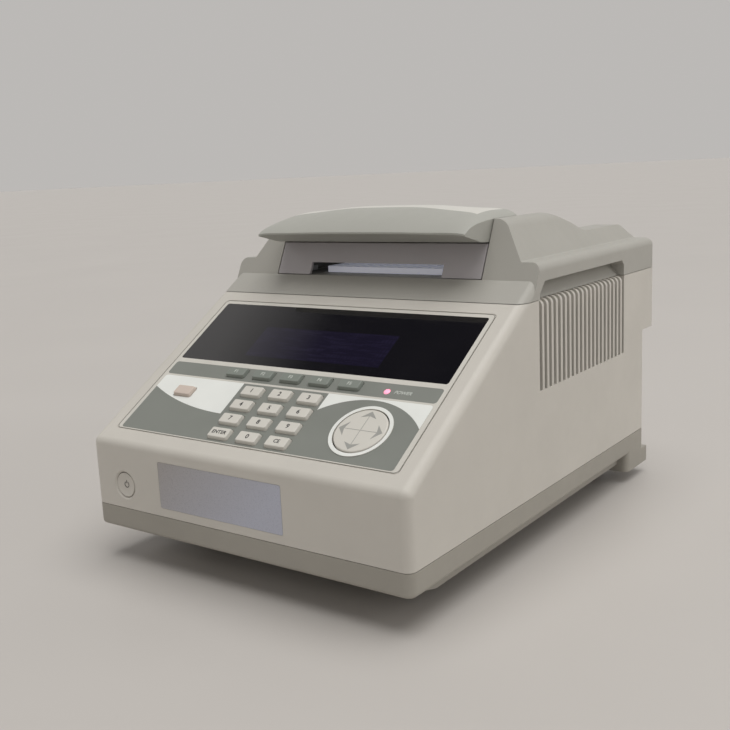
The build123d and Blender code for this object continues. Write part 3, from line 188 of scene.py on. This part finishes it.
def bump(tree, height, depth, normal):
    inputs = {"Strength": 1.0, "Distance": depth, "Height": height, "Normal": normal}
    return add_node(tree, "ShaderNodeBump", inputs).outputs["Normal"]


# ---- Finishes ------------------------------------------------------------------
def moulded(name, colour, roughness=0.5, grain=0.5 * MM, depth=0.03 * MM, mottle=0.03, wear=0.35):
    """Moulded or sprayed plastic: fine grain, faint mottling and edges rubbed lighter."""
    made, tree, shader = new_material(name)
    point = object_point(tree)
    clouds = noise(tree, point, 60 * MM, 3.0)
    smudges = noise(tree, point, 9 * MM, 4.0, 0.65)
    grit = noise(tree, point, grain, 2.0, 0.6)
    tone = remap(tree, clouds, 0.3, 0.7, 0.0, 1.0)
    tint = mix_colour(tree, tone, linear(colour, 1 - mottle), linear(colour, 1 + mottle))
    patches = remap(tree, smudges, 0.45, 0.62, 0.0, wear)
    rubbed = multiply(tree, edge_mask(tree, 0.7 * MM), patches)
    inputs = {
        "Base Color": mix_colour(tree, rubbed, tint, linear(colour, 1.35)),
        "Roughness": remap(tree, smudges, 0.25, 0.75, roughness - 0.07, roughness + 0.07),
        "Normal": bump(tree, grit, depth, rounded_normal(tree, 0.4 * MM)),
    }
    connect(tree, shader, inputs)
    return made


def printed(name, colour, roughness=0.42):
    """Screen-printed ink on a polyester film, with the film's faint orange peel."""
    made, tree, shader = new_material(name)
    point = object_point(tree)
    peel = noise(tree, point, 1.2 * MM, 1.0)
    clouds = noise(tree, point, 30 * MM, 3.0)
    tone = remap(tree, clouds, 0.3, 0.7, 0.0, 1.0)
    inputs = {
        "Base Color": mix_colour(tree, tone, linear(colour, 0.975), linear(colour, 1.02)),
        "Roughness": remap(tree, clouds, 0.3, 0.7, roughness - 0.05, roughness + 0.08),
        "Normal": bump(tree, peel, 0.01 * MM, rounded_normal(tree, 0.1 * MM)),
    }
    connect(tree, shader, inputs)
    return made


def brushed(name, colour, roughness=0.32, axis="X"):
    """Metal with fine parallel scratches along one axis."""
    made, tree, shader = new_material(name)
    point = object_point(tree)
    squeeze = {"X": (0.03, 1, 1), "Y": (1, 0.03, 1), "Z": (1, 1, 0.03)}[axis]
    lines = noise(tree, stretched(tree, point, *squeeze), 0.35 * MM, 3.0, 0.7)
    clouds = noise(tree, point, 25 * MM, 3.0)
    inputs = {
        "Base Color": mix_colour(tree, clouds, linear(colour, 0.9), linear(colour, 1.08)),
        "Metallic": 1.0,
        "Roughness": remap(tree, lines, 0.3, 0.7, roughness - 0.08, roughness + 0.12),
        "Normal": bump(tree, lines, 0.01 * MM, rounded_normal(tree, 0.25 * MM)),
    }
    connect(tree, shader, inputs)
    return made


def rubber(name, colour, roughness=0.75):
    """Soft rubber with a dusty bloom."""
    made, tree, shader = new_material(name)
    point = object_point(tree)
    dust = noise(tree, point, 5 * MM, 4.0, 0.7)
    grit = noise(tree, point, 0.4 * MM, 2.0)
    bloom = remap(tree, dust, 0.5, 0.75, 0.0, 0.25)
    inputs = {
        "Base Color": mix_colour(tree, bloom, linear(colour), linear(WHITE, 0.3)),
        "Roughness": remap(tree, dust, 0.3, 0.7, roughness - 0.1, roughness + 0.1),
        "Normal": bump(tree, grit, 0.03 * MM, rounded_normal(tree, 0.3 * MM)),
    }
    connect(tree, shader, inputs)
    return made


def display_glass(name):
    """Black back-printed window with a clear hard coat, a few fine wipe marks on it."""
    made, tree, shader = new_material(name)
    point = object_point(tree)
    wipes = noise(tree, stretched(tree, point, 0.15, 1, 1), 3 * MM, 4.0, 0.7)
    clouds = noise(tree, point, 45 * MM, 3.0)
    inputs = {
        "Base Color": mix_colour(tree, clouds, (0.004, 0.004, 0.006, 1), (0.009, 0.008, 0.010, 1)),
        "Roughness": remap(tree, wipes, 0.35, 0.75, 0.05, 0.14),
        "Coat Weight": 0.6,
        "Coat Roughness": 0.03,
        "Normal": rounded_normal(tree, 0.2 * MM),
    }
    connect(tree, shader, inputs)
    return made


def lit_screen(name, size, rows, columns):
    """A faintly lit dot-matrix screen seen through smoked glass: rows of soft character cells."""
    made, tree, shader = new_material(name)
    point = object_point(tree)
    cell = (size[0] / columns, size[1] / rows)
    inputs = {
        "Vector": point,
        "Color1": (1, 1, 1, 1),
        "Color2": (0.7, 0.7, 0.7, 1),
        "Mortar": (0, 0, 0, 1),
        "Scale": 1.0,
        "Mortar Size": cell[0] * 0.16,
        "Mortar Smooth": 0.2,
        "Brick Width": cell[0],
        "Row Height": cell[1],
    }
    cells = add_node(tree, "ShaderNodeTexBrick", inputs, offset=0.0).outputs["Color"]
    words = noise(tree, stretched(tree, point, 0.25, 1.6, 1), 6 * MM, 2.0, 0.8)
    written = multiply(tree, cells, remap(tree, words, 0.5, 0.54, 0.0, 1.0))
    glow = remap(tree, noise(tree, point, 70 * MM, 2.0), 0.3, 0.7, 0.55, 1.0)
    lamp = mix_colour(tree, written, SCREEN_UNLIT, SCREEN_LIT)
    inputs = {
        "Base Color": GLASS_TINT,
        "Roughness": remap(tree, words, 0.3, 0.7, 0.06, 0.12),
        "Coat Weight": 0.6,
        "Coat Roughness": 0.03,
        "Emission Color": mix_colour(tree, glow, SCREEN_DARK, lamp),
        "Emission Strength": 1.0,
    }
    connect(tree, shader, inputs)
    return made


def lamp_lens(name, colour):
    """A lit lamp lens, brighter at its core."""
    made, tree, shader = new_material(name)
    point = object_point(tree)
    flicker = noise(tree, point, 1.5 * MM, 2.0)
    inputs = {
        "Base Color": linear(colour),
        "Roughness": remap(tree, flicker, 0.3, 0.7, 0.15, 0.3),
        "Emission Color": mix_colour(tree, flicker, linear(colour, 0.8), linear(colour, 1.3)),
        "Emission Strength": 0.9,
        "Normal": rounded_normal(tree, 0.3 * MM),
    }
    connect(tree, shader, inputs)
    return made


# painted light on the label: the span over which it goes from shaded to lit
LABEL_LIGHT_DRIFT = (-190 * MM, -40 * MM)         # x less z, where the label's tone starts and ends


def label_film(name, shaded_corner, lit_corner):
    """A clear-coated blank label with painted light: its tone runs from a shaded colour at the upper left to a
    lit, bluer colour at the lower right.
    """
    made, tree, shader = new_material(name)
    point = object_point(tree)
    place = add_node(tree, "ShaderNodeSeparateXYZ", {0: point})
    ends = {0: place.outputs["X"], 1: place.outputs["Z"]}
    slant = add_node(tree, "ShaderNodeMath", ends, operation="SUBTRACT").outputs[0]
    grain = noise(tree, point, 0.8 * MM, 2.0)
    painted_light_drift = remap(tree, slant, *LABEL_LIGHT_DRIFT, 0.0, 1.0)
    inputs = {
        "Base Color": mix_colour(tree, painted_light_drift, linear(shaded_corner), linear(lit_corner)),
        "Roughness": remap(tree, grain, 0.0, 1.0, 0.24, 0.32),
        "Coat Weight": 0.2,
        "Coat Roughness": 0.15,
        "Normal": rounded_normal(tree, 0.1 * MM),
    }
    connect(tree, shader, inputs)
    return made


def sealed_plate(name, colour, glow, centre):
    """A frosted plate under a clear seal, each well painted as a darker disc of shade, and the whole plate given a
    faint painted glow of strength glow, halved over the wells.

    The centre of the plate lies between four wells.
    """
    made, tree, shader = new_material(name)
    point = object_point(tree)
    clouds = noise(tree, point, 12 * MM, 2.0)
    shifted = add_node(tree, "ShaderNodeVectorMath", {0: point, 1: centre}, operation="SUBTRACT")
    in_cell = add_node(
        tree,
        "ShaderNodeVectorMath",
        {0: shifted.outputs[0], 1: (WELL_PITCH, WELL_PITCH, WELL_PITCH), 2: (0, 0, 0)},
        operation="WRAP",
    )
    from_well = add_node(
        tree,
        "ShaderNodeVectorMath",
        {0: in_cell.outputs[0], 1: (WELL_PITCH / 2, WELL_PITCH / 2, 0)},
        operation="SUBTRACT",
    )
    flat = add_node(
        tree, "ShaderNodeVectorMath", {0: from_well.outputs[0], 1: (1, 1, 0)}, operation="MULTIPLY"
    )
    distance = add_node(
        tree, "ShaderNodeVectorMath", {0: flat.outputs[0]}, operation="LENGTH"
    ).outputs["Value"]
    normal = add_node(tree, "ShaderNodeNewGeometry").outputs["Normal"]
    facing_up = add_node(tree, "ShaderNodeSeparateXYZ", {0: normal}).outputs["Z"]
    on_top = remap(tree, facing_up, 0.8, 0.95, 0.0, 1.0)
    # painted shade: a darker disc over each well on the plate's top
    in_well = remap(tree, distance, WELL_RADIUS, WELL_RADIUS - 0.3 * MM, 0.0, 0.35)
    well_shade = multiply(tree, in_well, on_top)
    plastic = mix_colour(tree, clouds, linear(colour, 0.96), linear(colour, 1.03))
    inputs = {
        "Base Color": mix_colour(tree, well_shade, plastic, linear(colour, 0.45)),
        "Roughness": remap(tree, clouds, 0.3, 0.7, 0.25, 0.4),
        # painted glow: the plate emits its own colour faintly, though it is no lamp
        "Emission Color": linear(colour),
        "Emission Strength": remap(tree, well_shade, 0.0, 0.35, glow, glow / 2),
        "Normal": rounded_normal(tree, 0.3 * MM),
    }
    connect(tree, shader, inputs)
    return made


# ---- The console's own frame ------------------------------------------------------
def vertices(node):
    return [vertex.co for vertex in frame["nodes"][node].data.vertices]


press_axis = next(j for j in frame["joints"] if j["name"] == "key_1_press")["axis"]
CONSOLE_OUT = -Vector(press_axis).normalized()
CONSOLE_UP = Vector((0, CONSOLE_OUT.z, -CONSOLE_OUT.y))
surface = max(CONSOLE_OUT.dot(co) for co in vertices("display_window"))
front_edge = min(CONSOLE_UP.dot(co) for co in vertices("overlay_panel"))
console_origin = CONSOLE_OUT * surface + CONSOLE_UP * front_edge

# Columns: across, up the slope, out of the console.  The origin is the middle
# of the overlay's front edge.
CONSOLE = Matrix.Translation(console_origin) @ Matrix(
    (
        (1, 0, 0, 0),
        (0, CONSOLE_UP.y, CONSOLE_OUT.y, 0),
        (0, CONSOLE_UP.z, CONSOLE_OUT.z, 0),
        (0, 0, 0, 1),
    )
)
TO_CONSOLE = CONSOLE.inverted()


def console_box(node):
    """Lowest and highest corner of a node in the console's frame."""
    points = [TO_CONSOLE @ co for co in vertices(node)]
    low = Vector([min(point[axis] for point in points) for axis in range(3)])
    high = Vector([max(point[axis] for point in points) for axis in range(3)])
    return low, high


def console_centre(node):
    low, high = console_box(node)
    return (low + high) / 2


# ---- Flat pieces: prints and legends ------------------------------------------------
PRINT_THICK = 0.04 * MM
PRINT_LIFT = 0.03 * MM
LETTER_WEIGHT = 0.02                        # how far letters are thickened, as a share of their size
ARC_POINTS = 40
CORNER_POINTS = 6


def rounded_rect(centre, width, depth, radius):
    """Outline of a rectangle with round corners."""
    outline = []
    for quarter, (side_x, side_y) in enumerate(((1, 1), (-1, 1), (-1, -1), (1, -1))):
        corner = (centre[0] + side_x * (width / 2 - radius), centre[1] + side_y * (depth / 2 - radius))
        for step in range(CORNER_POINTS + 1):
            angle = math.pi / 2 * (quarter + step / CORNER_POINTS)
            outline.append((corner[0] + radius * math.cos(angle), corner[1] + radius * math.sin(angle)))
    return outline


def circle(centre, radius, count=72):
    angles = [2 * math.pi * step / count for step in range(count)]
    return [(centre[0] + radius * math.cos(a), centre[1] + radius * math.sin(a)) for a in angles]


def arc_through(start, middle, end):
    """Points on the circular arc from start through middle to end."""
    a, b, c = (complex(*point) for point in (start, middle, end))
    ratio = (c - a) / (b - a)
    centre = a - (a - b) * (ratio - abs(ratio) ** 2) / (2j * ratio.imag)
    radius = abs(a - centre)
    first = cmath.phase(a - centre)
    turn = (cmath.phase(c - centre) - first) % (2 * math.pi)
    if (cmath.phase(b - centre) - first) % (2 * math.pi) > turn:
        turn -= 2 * math.pi
    angles = [first + turn * step / ARC_POINTS for step in range(ARC_POINTS + 1)]
    return [(centre.real + radius * math.cos(t), centre.imag + radius * math.sin(t)) for t in angles]


def as_mesh_piece(source, name, place, finish, body):
    """Turn a curve or text object into a mesh piece that rides on a body."""
    bpy.context.scene.collection.objects.link(source)
    bpy.context.view_layer.update()
    graph = bpy.context.evaluated_depsgraph_get()
    mesh = bpy.data.meshes.new_from_object(source.evaluated_get(graph))
    bpy.data.objects.remove(source)
    mesh.transform(place)
    mesh.materials.clear()
    mesh.materials.append(finish)
    piece = bpy.data.objects.new(name, mesh)
    bpy.context.scene.collection.objects.link(piece)
    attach(piece, body)
    return piece


def flat_piece(name, outlines, place, finish, body, thick=PRINT_THICK):
    """A thin piece filled between its outlines; an outline inside another is a hole."""
    curve = bpy.data.curves.new(name + "_outline", "CURVE")
    curve.dimensions = "2D"
    curve.fill_mode = "BOTH"
    curve.extrude = thick / 2
    for outline in outlines:
        spline = curve.splines.new("POLY")
        spline.points.add(len(outline) - 1)
        for point, (x, y) in zip(spline.points, outline):
            point.co = (x, y, 0, 1)
        spline.use_cyclic_u = True
    source = bpy.data.objects.new(name + "_outline", curve)
    return as_mesh_piece(source, name, place, finish, body)


def legend(name, text, place, size, finish, body, shear=0.0):
    """A printed legend, centred at the origin of place."""
    font = bpy.data.curves.new(name + "_text", "FONT")
    font.body = text
    font.size = size
    font.shear = shear
    font.align_x = "CENTER"
    font.align_y = "CENTER"
    font.extrude = PRINT_THICK / 2
    font.offset = size * LETTER_WEIGHT
    source = bpy.data.objects.new(name + "_text", font)
    return as_mesh_piece(source, name, place, finish, body)


def on_console(across, up, out):
    """A place on the console, facing out of it."""
    return CONSOLE @ Matrix.Translation((across, up, out))


# ---- Materials of the CAD nodes ------------------------------------------------------
cover_paint = moulded("cover_beige", COVER_BEIGE, grain=0.7 * MM, depth=0.035 * MM)
deck_plastic = moulded("deck_grey", DECK_GREY, grain=0.6 * MM, depth=0.035 * MM, mottle=0.025, wear=0.5)
visor_plastic = moulded("visor_grey", VISOR_GREY, roughness=0.48, grain=0.6 * MM, mottle=0.02, wear=0.5)
base_plastic = moulded(
    "base_grey", BASE_GREY, roughness=0.55, grain=0.6 * MM, depth=0.04 * MM, mottle=0.04, wear=0.6
)
cream_plastic = moulded("top_cream", TOP_CREAM, roughness=0.42, grain=0.6 * MM, depth=0.02 * MM)
lid_plastic = moulded("lid_light_grey", LID_GREY, grain=0.6 * MM)
film_beige = printed("overlay_film", FILM_BEIGE, roughness=0.48)
print_grey = printed("print_grey", PRINT_GREY)
print_white = printed("print_white", PRINT_WHITE)
# painted shadow: the dark line round the film's edge, made with the print finish
painted_edge_shadow = printed("painted_edge_shadow", EDGE_SHADOW_GREY)
print_dark = printed("print_dark", PRINT_DARK, roughness=0.5)
legend_light = printed("legend_light", LEGEND_LIGHT, roughness=0.5)
arrow_grey = printed("arrow_grey", ARROW_GREY, roughness=0.5)
KEY_TEXTURE = {"roughness": 0.42, "grain": 0.4 * MM, "depth": 0.012 * MM, "wear": 0.3}
key_light = moulded("key_light", KEY_LIGHT, mottle=0.02, **KEY_TEXTURE)
key_grey = moulded("key_grey", KEY_GREY, mottle=0.02, **KEY_TEXTURE)
key_stop = moulded("key_stop", KEY_STOP, mottle=0.03, **KEY_TEXTURE)
black_plastic = moulded("black_plastic", BLACK, mottle=0.1, wear=0.4)
glass = display_glass("display_glass")
steel = brushed("steel", STEEL)
aluminium = brushed("aluminium", ALUMINIUM, roughness=0.36, axis="Y")
zinc_sheet = brushed("sheet_metal", ZINC, roughness=0.38)
rear_paint = moulded("rear_metal", REAR_PAINT, roughness=0.42, grain=0.9 * MM, depth=0.02 * MM, wear=0.8)
foot_rubber = rubber("foot_rubber", RUBBER_BLACK)
silicone = rubber("silicone", SILICONE_GREY, roughness=0.6)
board = moulded(
    "circuit_board", BOARD_GREEN, roughness=0.35, grain=1.2 * MM, depth=0.02 * MM, mottle=0.15, wear=0.2
)
cable = moulded("cable_grey", CABLE_GREY, grain=0.8 * MM, depth=0.05 * MM)
ceramic = moulded("ceramic", NATURAL_WHITE, roughness=0.6)
acetal = moulded("white_acetal", NATURAL_WHITE, roughness=0.35, grain=0.4 * MM, depth=0.01 * MM)
plate_low, plate_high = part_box("sample_plate")
# 0.16 is the strength of the plate's painted glow
plate_plastic = sealed_plate("plate_white", PLATE_WHITE, 0.16, (plate_low + plate_high) / 2)
led_pink = lamp_lens("led_pink", LAMP_PINK)
label_paper = label_film("label_film", LABEL_SHADED_CORNER, LABEL_LIT_CORNER)

SLOT_FINISHES = {
    "base_grey": base_plastic,
    "foot_rubber": foot_rubber,
    "cover_beige": cover_paint,
    "deck_grey": deck_plastic,
    "steel": steel,
    "overlay_grey": film_beige,
    "display_glass": glass,
    "lcd": glass,
    "circuit_board": board,
    "silicone": silicone,
    "key_light": key_light,
    "key_grey": key_grey,
    "key_stop": key_stop,
    "black_plastic": black_plastic,
    "led_pink": led_pink,
    "label_film": label_paper,
    "lid_light_grey": lid_plastic,
    "white_acetal": acetal,
    "visor_grey": visor_plastic,
    "top_cream": cream_plastic,
    "aluminium": aluminium,
    "plate_white": plate_plastic,
    "ceramic": ceramic,
    "sheet_metal": zinc_sheet,
    "rear_metal": rear_paint,
    "cable_grey": cable,
}

for subpart in frame["record"]["subparts"]:
    node = frame["nodes"][subpart["node"]]
    node.data.materials.clear()
    node.data.materials.append(SLOT_FINISHES[subpart["material_slot"]])

# ---- Console prints ----------------------------------------------------------------
overlay_low, overlay_high = console_box("overlay_panel")
glass_low, glass_high = console_box("display_window")
FILM_BORDER = 4.4 * MM                      # bare film beside the printed areas
HALF_PRINT = overlay_high.x - FILM_BORDER
KEY_CLEARANCE = 0.5 * MM
KEY_CORNER = 1.5 * MM
FLANGE = (3.4 * MM, 3.0 * MM)               # how much a key's hidden flange adds to its size


def key_hole(node):
    """Outline just clear of a key's shaft, which is narrower than its hidden flange."""
    low, high = console_box(node)
    centre = (low + high) / 2
    width = high.x - low.x - FLANGE[0] + 2 * KEY_CLEARANCE
    depth = high.y - low.y - FLANGE[1] + 2 * KEY_CLEARANCE
    return rounded_rect(centre, width, depth, KEY_CORNER + KEY_CLEARANCE)


key_holes = [key_hole(node) for node in KEYPAD]
f_key_holes = [key_hole(node) for node in F_KEYS]
stop_hole = key_hole("stop_key")
led_spot = console_centre("power_led")
led_low, led_high = console_box("power_led")
LED_CLEARANCE = 0.2 * MM
led_hole = circle(led_spot, (led_high.x - led_low.x) / 2 + LED_CLEARANCE)
nav_spot = console_centre("nav_disc")
nav_low, nav_high = console_box("nav_disc")
NAV_RADIUS = (nav_high.x - nav_low.x) / 2
RING_INNER = NAV_RADIUS + 0.85 * MM
RING_OUTER = NAV_RADIUS + 3.65 * MM
RING_HEIGHT = overlay_high.z

STRIP_GAP = 4.9 * MM                        # film showing between the window and the strip
STRIP_DEPTH = 14.5 * MM
STRIP_OVERHANG = 0.5 * MM                   # the strip is this much wider at each end
STRIP_TOP = glass_low.y - STRIP_GAP
STRIP_BOTTOM = STRIP_TOP - STRIP_DEPTH
PANEL_TOP = STRIP_BOTTOM - 2.0 * MM
PANEL_BOTTOM = 1.4 * MM
PRINT_CORNER = 2.5 * MM
print_level = PRINT_LIFT + PRINT_THICK / 2

strip_middle = (0, (STRIP_TOP + STRIP_BOTTOM) / 2)
strip_outline = rounded_rect(
    strip_middle, 2 * (HALF_PRINT + STRIP_OVERHANG), STRIP_DEPTH, PRINT_CORNER
)
flat_piece(
    "strip_print",
    [strip_outline, *f_key_holes, led_hole],
    on_console(0, 0, print_level),
    print_grey,
    "base",
)

panel_outline = rounded_rect(
    (0, (PANEL_TOP + PANEL_BOTTOM) / 2), 2 * HALF_PRINT, PANEL_TOP - PANEL_BOTTOM, PRINT_CORNER
)
nav_opening = circle(nav_spot, RING_OUTER)
flat_piece(
    "panel_print",
    [panel_outline, *key_holes, stop_hole, nav_opening],
    on_console(0, 0, print_level),
    print_grey,
    "base",
)

# painted shadow: a thin dark line all round the film, standing for the shadow its edge casts
EDGE_SHADOW_WIDTH = 0.45 * MM
FILM_CORNER = 4.0 * MM
film_middle = (0, (overlay_low.y + overlay_high.y) / 2)
film_width = overlay_high.x - overlay_low.x
film_depth = overlay_high.y - overlay_low.y
flat_piece(
    "film_edge_shadow",
    [
        rounded_rect(film_middle, film_width, film_depth, FILM_CORNER),
        rounded_rect(
            film_middle, film_width - 2 * EDGE_SHADOW_WIDTH, film_depth - 2 * EDGE_SHADOW_WIDTH, FILM_CORNER - EDGE_SHADOW_WIDTH
        ),
    ],
    on_console(0, 0, print_level),
    painted_edge_shadow,
    "base",
)

# two white fields that sweep down to the left and over the cursor disc
KEYPAD_LEFT = -43.0 * MM
KEYPAD_RIGHT = 40.0 * MM
white_level = print_level + PRINT_THICK
def upper_corner(side):
    """The panel print's round upper corner at one side, from its side edge to its top edge."""
    flat = PRINT_CORNER * (1 - math.sqrt(0.5))
    return arc_through(
        (side * HALF_PRINT, PANEL_TOP - PRINT_CORNER),
        (side * (HALF_PRINT - flat), PANEL_TOP - flat),
        (side * (HALF_PRINT - PRINT_CORNER), PANEL_TOP),
    )


left_sweep = arc_through(
    (KEYPAD_LEFT, 28.6 * MM), (-88.0 * MM, 34.2 * MM), (-HALF_PRINT, 48.3 * MM)
)
flat_piece(
    "white_left_print",
    [[*left_sweep, *upper_corner(-1), (KEYPAD_LEFT, PANEL_TOP)], stop_hole],
    on_console(0, 0, white_level),
    print_white,
    "base",
)
right_sweep = arc_through(
    (KEYPAD_RIGHT, 44.9 * MM), (88.0 * MM, 60.2 * MM), (HALF_PRINT, 39.5 * MM)
)
flat_piece(
    "white_right_print",
    [[*right_sweep, *upper_corner(1), (KEYPAD_RIGHT, PANEL_TOP)]],
    on_console(0, 0, white_level),
    print_white,
    "base",
)
flat_piece(
    "nav_ring_print",
    [circle(nav_spot, RING_OUTER), circle(nav_spot, RING_INNER)],
    on_console(0, 0, RING_HEIGHT + print_level),
    print_white,
    "base",
)

# ---- Legends ----------------------------------------------------------------------
DIGIT_SIZE = 5.6 * MM
WORD_SIZE = 4.6 * MM
F_KEY_SIZE = 4.2 * MM
for node, text in KEYPAD.items():
    centre = console_centre(node)
    top = console_box(node)[1].z
    size = DIGIT_SIZE if len(text) == 1 else WORD_SIZE
    legend(
        f"legend_{node}",
        text,
        on_console(centre.x, centre.y, top + PRINT_LIFT),
        size,
        print_dark,
        f"{node}_body",
    )
for node, text in F_KEYS.items():
    centre = console_centre(node)
    top = console_box(node)[1].z
    legend(
        f"legend_{node}",
        text,
        on_console(centre.x, centre.y, top + PRINT_LIFT),
        F_KEY_SIZE,
        legend_light,
        f"{node}_body",
    )
POWER_TEXT_OFFSET = 13.4 * MM
POWER_TEXT_SIZE = 4.2 * MM
legend(
    "legend_power",
    "POWER",
    on_console(led_spot.x + POWER_TEXT_OFFSET, led_spot.y, white_level + PRINT_LIFT),
    POWER_TEXT_SIZE,
    legend_light,
    "base",
    shear=0.25,
)

# ---- Cursor disc graphics ------------------------------------------------------------
ARROW_TIP = 0.90 * NAV_RADIUS
ARROW_BASE = 0.58 * NAV_RADIUS
ARROW_NOTCH = 0.68 * NAV_RADIUS
ARROW_HALF = 0.33 * NAV_RADIUS
LINE_HALF = 0.22 * MM
nav_top = nav_high.z + PRINT_LIFT
for number in range(4):
    turn = Matrix.Rotation(number * math.pi / 2, 4, "Z")
    place = on_console(nav_spot.x, nav_spot.y, nav_top) @ turn
    arrow = [(0, ARROW_TIP), (-ARROW_HALF, ARROW_BASE), (0, ARROW_NOTCH), (ARROW_HALF, ARROW_BASE)]
    line = [
        (-LINE_HALF, LINE_HALF),
        (LINE_HALF, LINE_HALF),
        (LINE_HALF, ARROW_NOTCH),
        (-LINE_HALF, ARROW_NOTCH),
    ]
    flat_piece(f"nav_arrow_{number + 1}", [arrow], place, arrow_grey, "nav_disc_body")
    flat_piece(f"nav_line_{number + 1}", [line], place, arrow_grey, "nav_disc_body")

# ---- Display ---------------------------------------------------------------------
SCREEN_SIZE = (131.4 * MM, 35.4 * MM)
screen_place = on_console(0, console_centre("lcd_module").y, 0.02 * MM)
screen_finish = lit_screen("screen_glow", SCREEN_SIZE, rows=8, columns=40)
flat_piece(
    "lit_screen",
    [rounded_rect((0, 0), *SCREEN_SIZE, 0.5 * MM)],
    screen_place,
    screen_finish,
    "base",
    thick=0.02 * MM,
)

# ---- Power button symbol -------------------------------------------------------------
button_low, button_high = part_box("power_button")
SCOOP_DEPTH = 1.25 * MM
SYMBOL_RADIUS = 2.3 * MM
SYMBOL_LINE = 0.55 * MM
SYMBOL_BAR = 2.6 * MM
SYMBOL_GAP = 1.1                            # radians
SYMBOL_THICK = 0.2 * MM
button_face = Matrix.Translation(
    (
        (button_low.x + button_high.x) / 2,
        button_low.y + SCOOP_DEPTH,
        (button_low.z + button_high.z) / 2,
    )
) @ Matrix.Rotation(math.pi / 2, 4, "X")


def open_ring(radius, width, gap):
    """A ring that is open over an angle of gap at its top."""
    start = math.pi / 2 + gap / 2
    sweep = 2 * math.pi - gap
    angles = [start + sweep * step / ARC_POINTS for step in range(ARC_POINTS + 1)]
    outer = [((radius + width / 2) * math.cos(a), (radius + width / 2) * math.sin(a)) for a in angles]
    inner = [((radius - width / 2) * math.cos(a), (radius - width / 2) * math.sin(a)) for a in angles]
    return outer + inner[::-1]


power_symbol = {
    "power_symbol_ring": open_ring(SYMBOL_RADIUS, SYMBOL_LINE, SYMBOL_GAP),
    "power_symbol_bar": rounded_rect((0, SYMBOL_RADIUS), SYMBOL_LINE, SYMBOL_BAR, 0.2 * MM),
}
for name, outline in power_symbol.items():
    flat_piece(
        name,
        [outline],
        button_face,
        print_dark,
        "power_button_body",
        thick=SYMBOL_THICK,
    )

# ---- Floor, light and camera ----------------------------------------------------------
FLOOR_RADIUS = 60.0
WALL_COLOUR = (0.50, 0.485, 0.47, 1)
CEILING_COLOUR = (0.025, 0.025, 0.03, 1)
CEILING_FROM = (0.70, 0.76)                 # upward part of a direction where wall turns to ceiling
FLOOR_TONES = ((0.50, 0.475, 0.450, 1), (0.53, 0.505, 0.480, 1))
WARM_WHITE = (1.0, 0.99, 0.97)


def studio_floor():
    """A large round pale floor with faint clouds in its tone."""
    made, tree, shader = new_material("studio_floor")
    point = object_point(tree)
    clouds = noise(tree, point, 0.3, 3.0)
    inputs = {
        "Base Color": mix_colour(tree, clouds, *FLOOR_TONES),
        "Roughness": remap(tree, clouds, 0.3, 0.7, 0.45, 0.55),
    }
    connect(tree, shader, inputs)
    mesh = bpy.data.meshes.new("studio_floor")
    rim = [(x, y, 0) for x, y in circle((0, 0), FLOOR_RADIUS)]
    mesh.from_pydata(rim, [], [tuple(range(len(rim)))])
    mesh.materials.append(made)
    floor = bpy.data.objects.new("studio_floor", mesh)
    bpy.context.scene.collection.objects.link(floor)


def sky_light(name, towards, width, strength, colour):
    """A very wide, soft directional light; it lights the whole floor evenly."""
    light = bpy.data.lights.new(name, "SUN")
    light.angle = width
    light.energy = strength
    light.color = colour
    lamp = bpy.data.objects.new(name, light)
    lamp.rotation_euler = Vector(towards).to_track_quat("Z", "Y").to_euler()
    bpy.context.scene.collection.objects.link(lamp)


def square_light(name, place, target, size, power, colour):
    """A square soft box that shines on a target."""
    light = bpy.data.lights.new(name, "AREA")
    light.size = size
    light.energy = power
    light.color = colour
    lamp = bpy.data.objects.new(name, light)
    lamp.location = place
    lamp.rotation_euler = (Vector(target) - Vector(place)).to_track_quat("-Z", "Y").to_euler()
    bpy.context.scene.collection.objects.link(lamp)


def studio_world():
    """Pale surroundings up to well above eye level, and a dim ceiling."""
    world = bpy.data.worlds.new("studio")
    world.use_nodes = True
    tree = world.node_tree
    backdrop = tree.nodes["Background"]
    direction = add_node(tree, "ShaderNodeTexCoord").outputs["Generated"]
    height = add_node(tree, "ShaderNodeSeparateXYZ", {0: direction}).outputs["Z"]
    fade = remap(tree, height, *CEILING_FROM, 0.0, 1.0)
    sky = mix_colour(tree, fade, WALL_COLOUR, CEILING_COLOUR)
    connect(tree, backdrop, {"Color": sky, "Strength": 1.0})
    bpy.context.scene.world = world


CAMERA_PLACE = (0.4773, -0.6964, 0.2964)
CAMERA_TURNS = (-36.25, 11.15, -2.68)       # to the right of +Y, down, and roll, in degrees
FOCAL_LENGTH = 48.88
SENSOR_WIDTH = 36.0


def photo_camera():
    """The camera, three quarters to the right of the front and a little above."""
    yaw, pitch, roll = (math.radians(angle) for angle in CAMERA_TURNS)
    forward = Vector(
        (math.sin(yaw) * math.cos(pitch), math.cos(yaw) * math.cos(pitch), -math.sin(pitch))
    )
    level = Vector((math.cos(yaw), -math.sin(yaw), 0))
    upright = level.cross(forward)
    right = level * math.cos(roll) + upright * math.sin(roll)
    up = upright * math.cos(roll) - level * math.sin(roll)
    lens = bpy.data.cameras.new("photo_camera")
    lens.lens = FOCAL_LENGTH
    lens.sensor_width = SENSOR_WIDTH
    camera = bpy.data.objects.new("photo_camera", lens)
    turn = Matrix((right, up, -forward)).transposed().to_4x4()
    camera.matrix_world = Matrix.Translation(CAMERA_PLACE) @ turn
    bpy.context.scene.collection.objects.link(camera)
    bpy.context.scene.camera = camera


studio_floor()
studio_world()
sky_light("top_light", (0.14, 0.04, 0.98), math.radians(60), 2.3, WARM_WHITE)
square_light("side_light", (1.3, 0.7, 0.6), (0.15, 0.18, 0.15), 0.6, 2.2, WARM_WHITE)
photo_camera()
bpy.context.scene.view_settings.view_transform = "Standard"
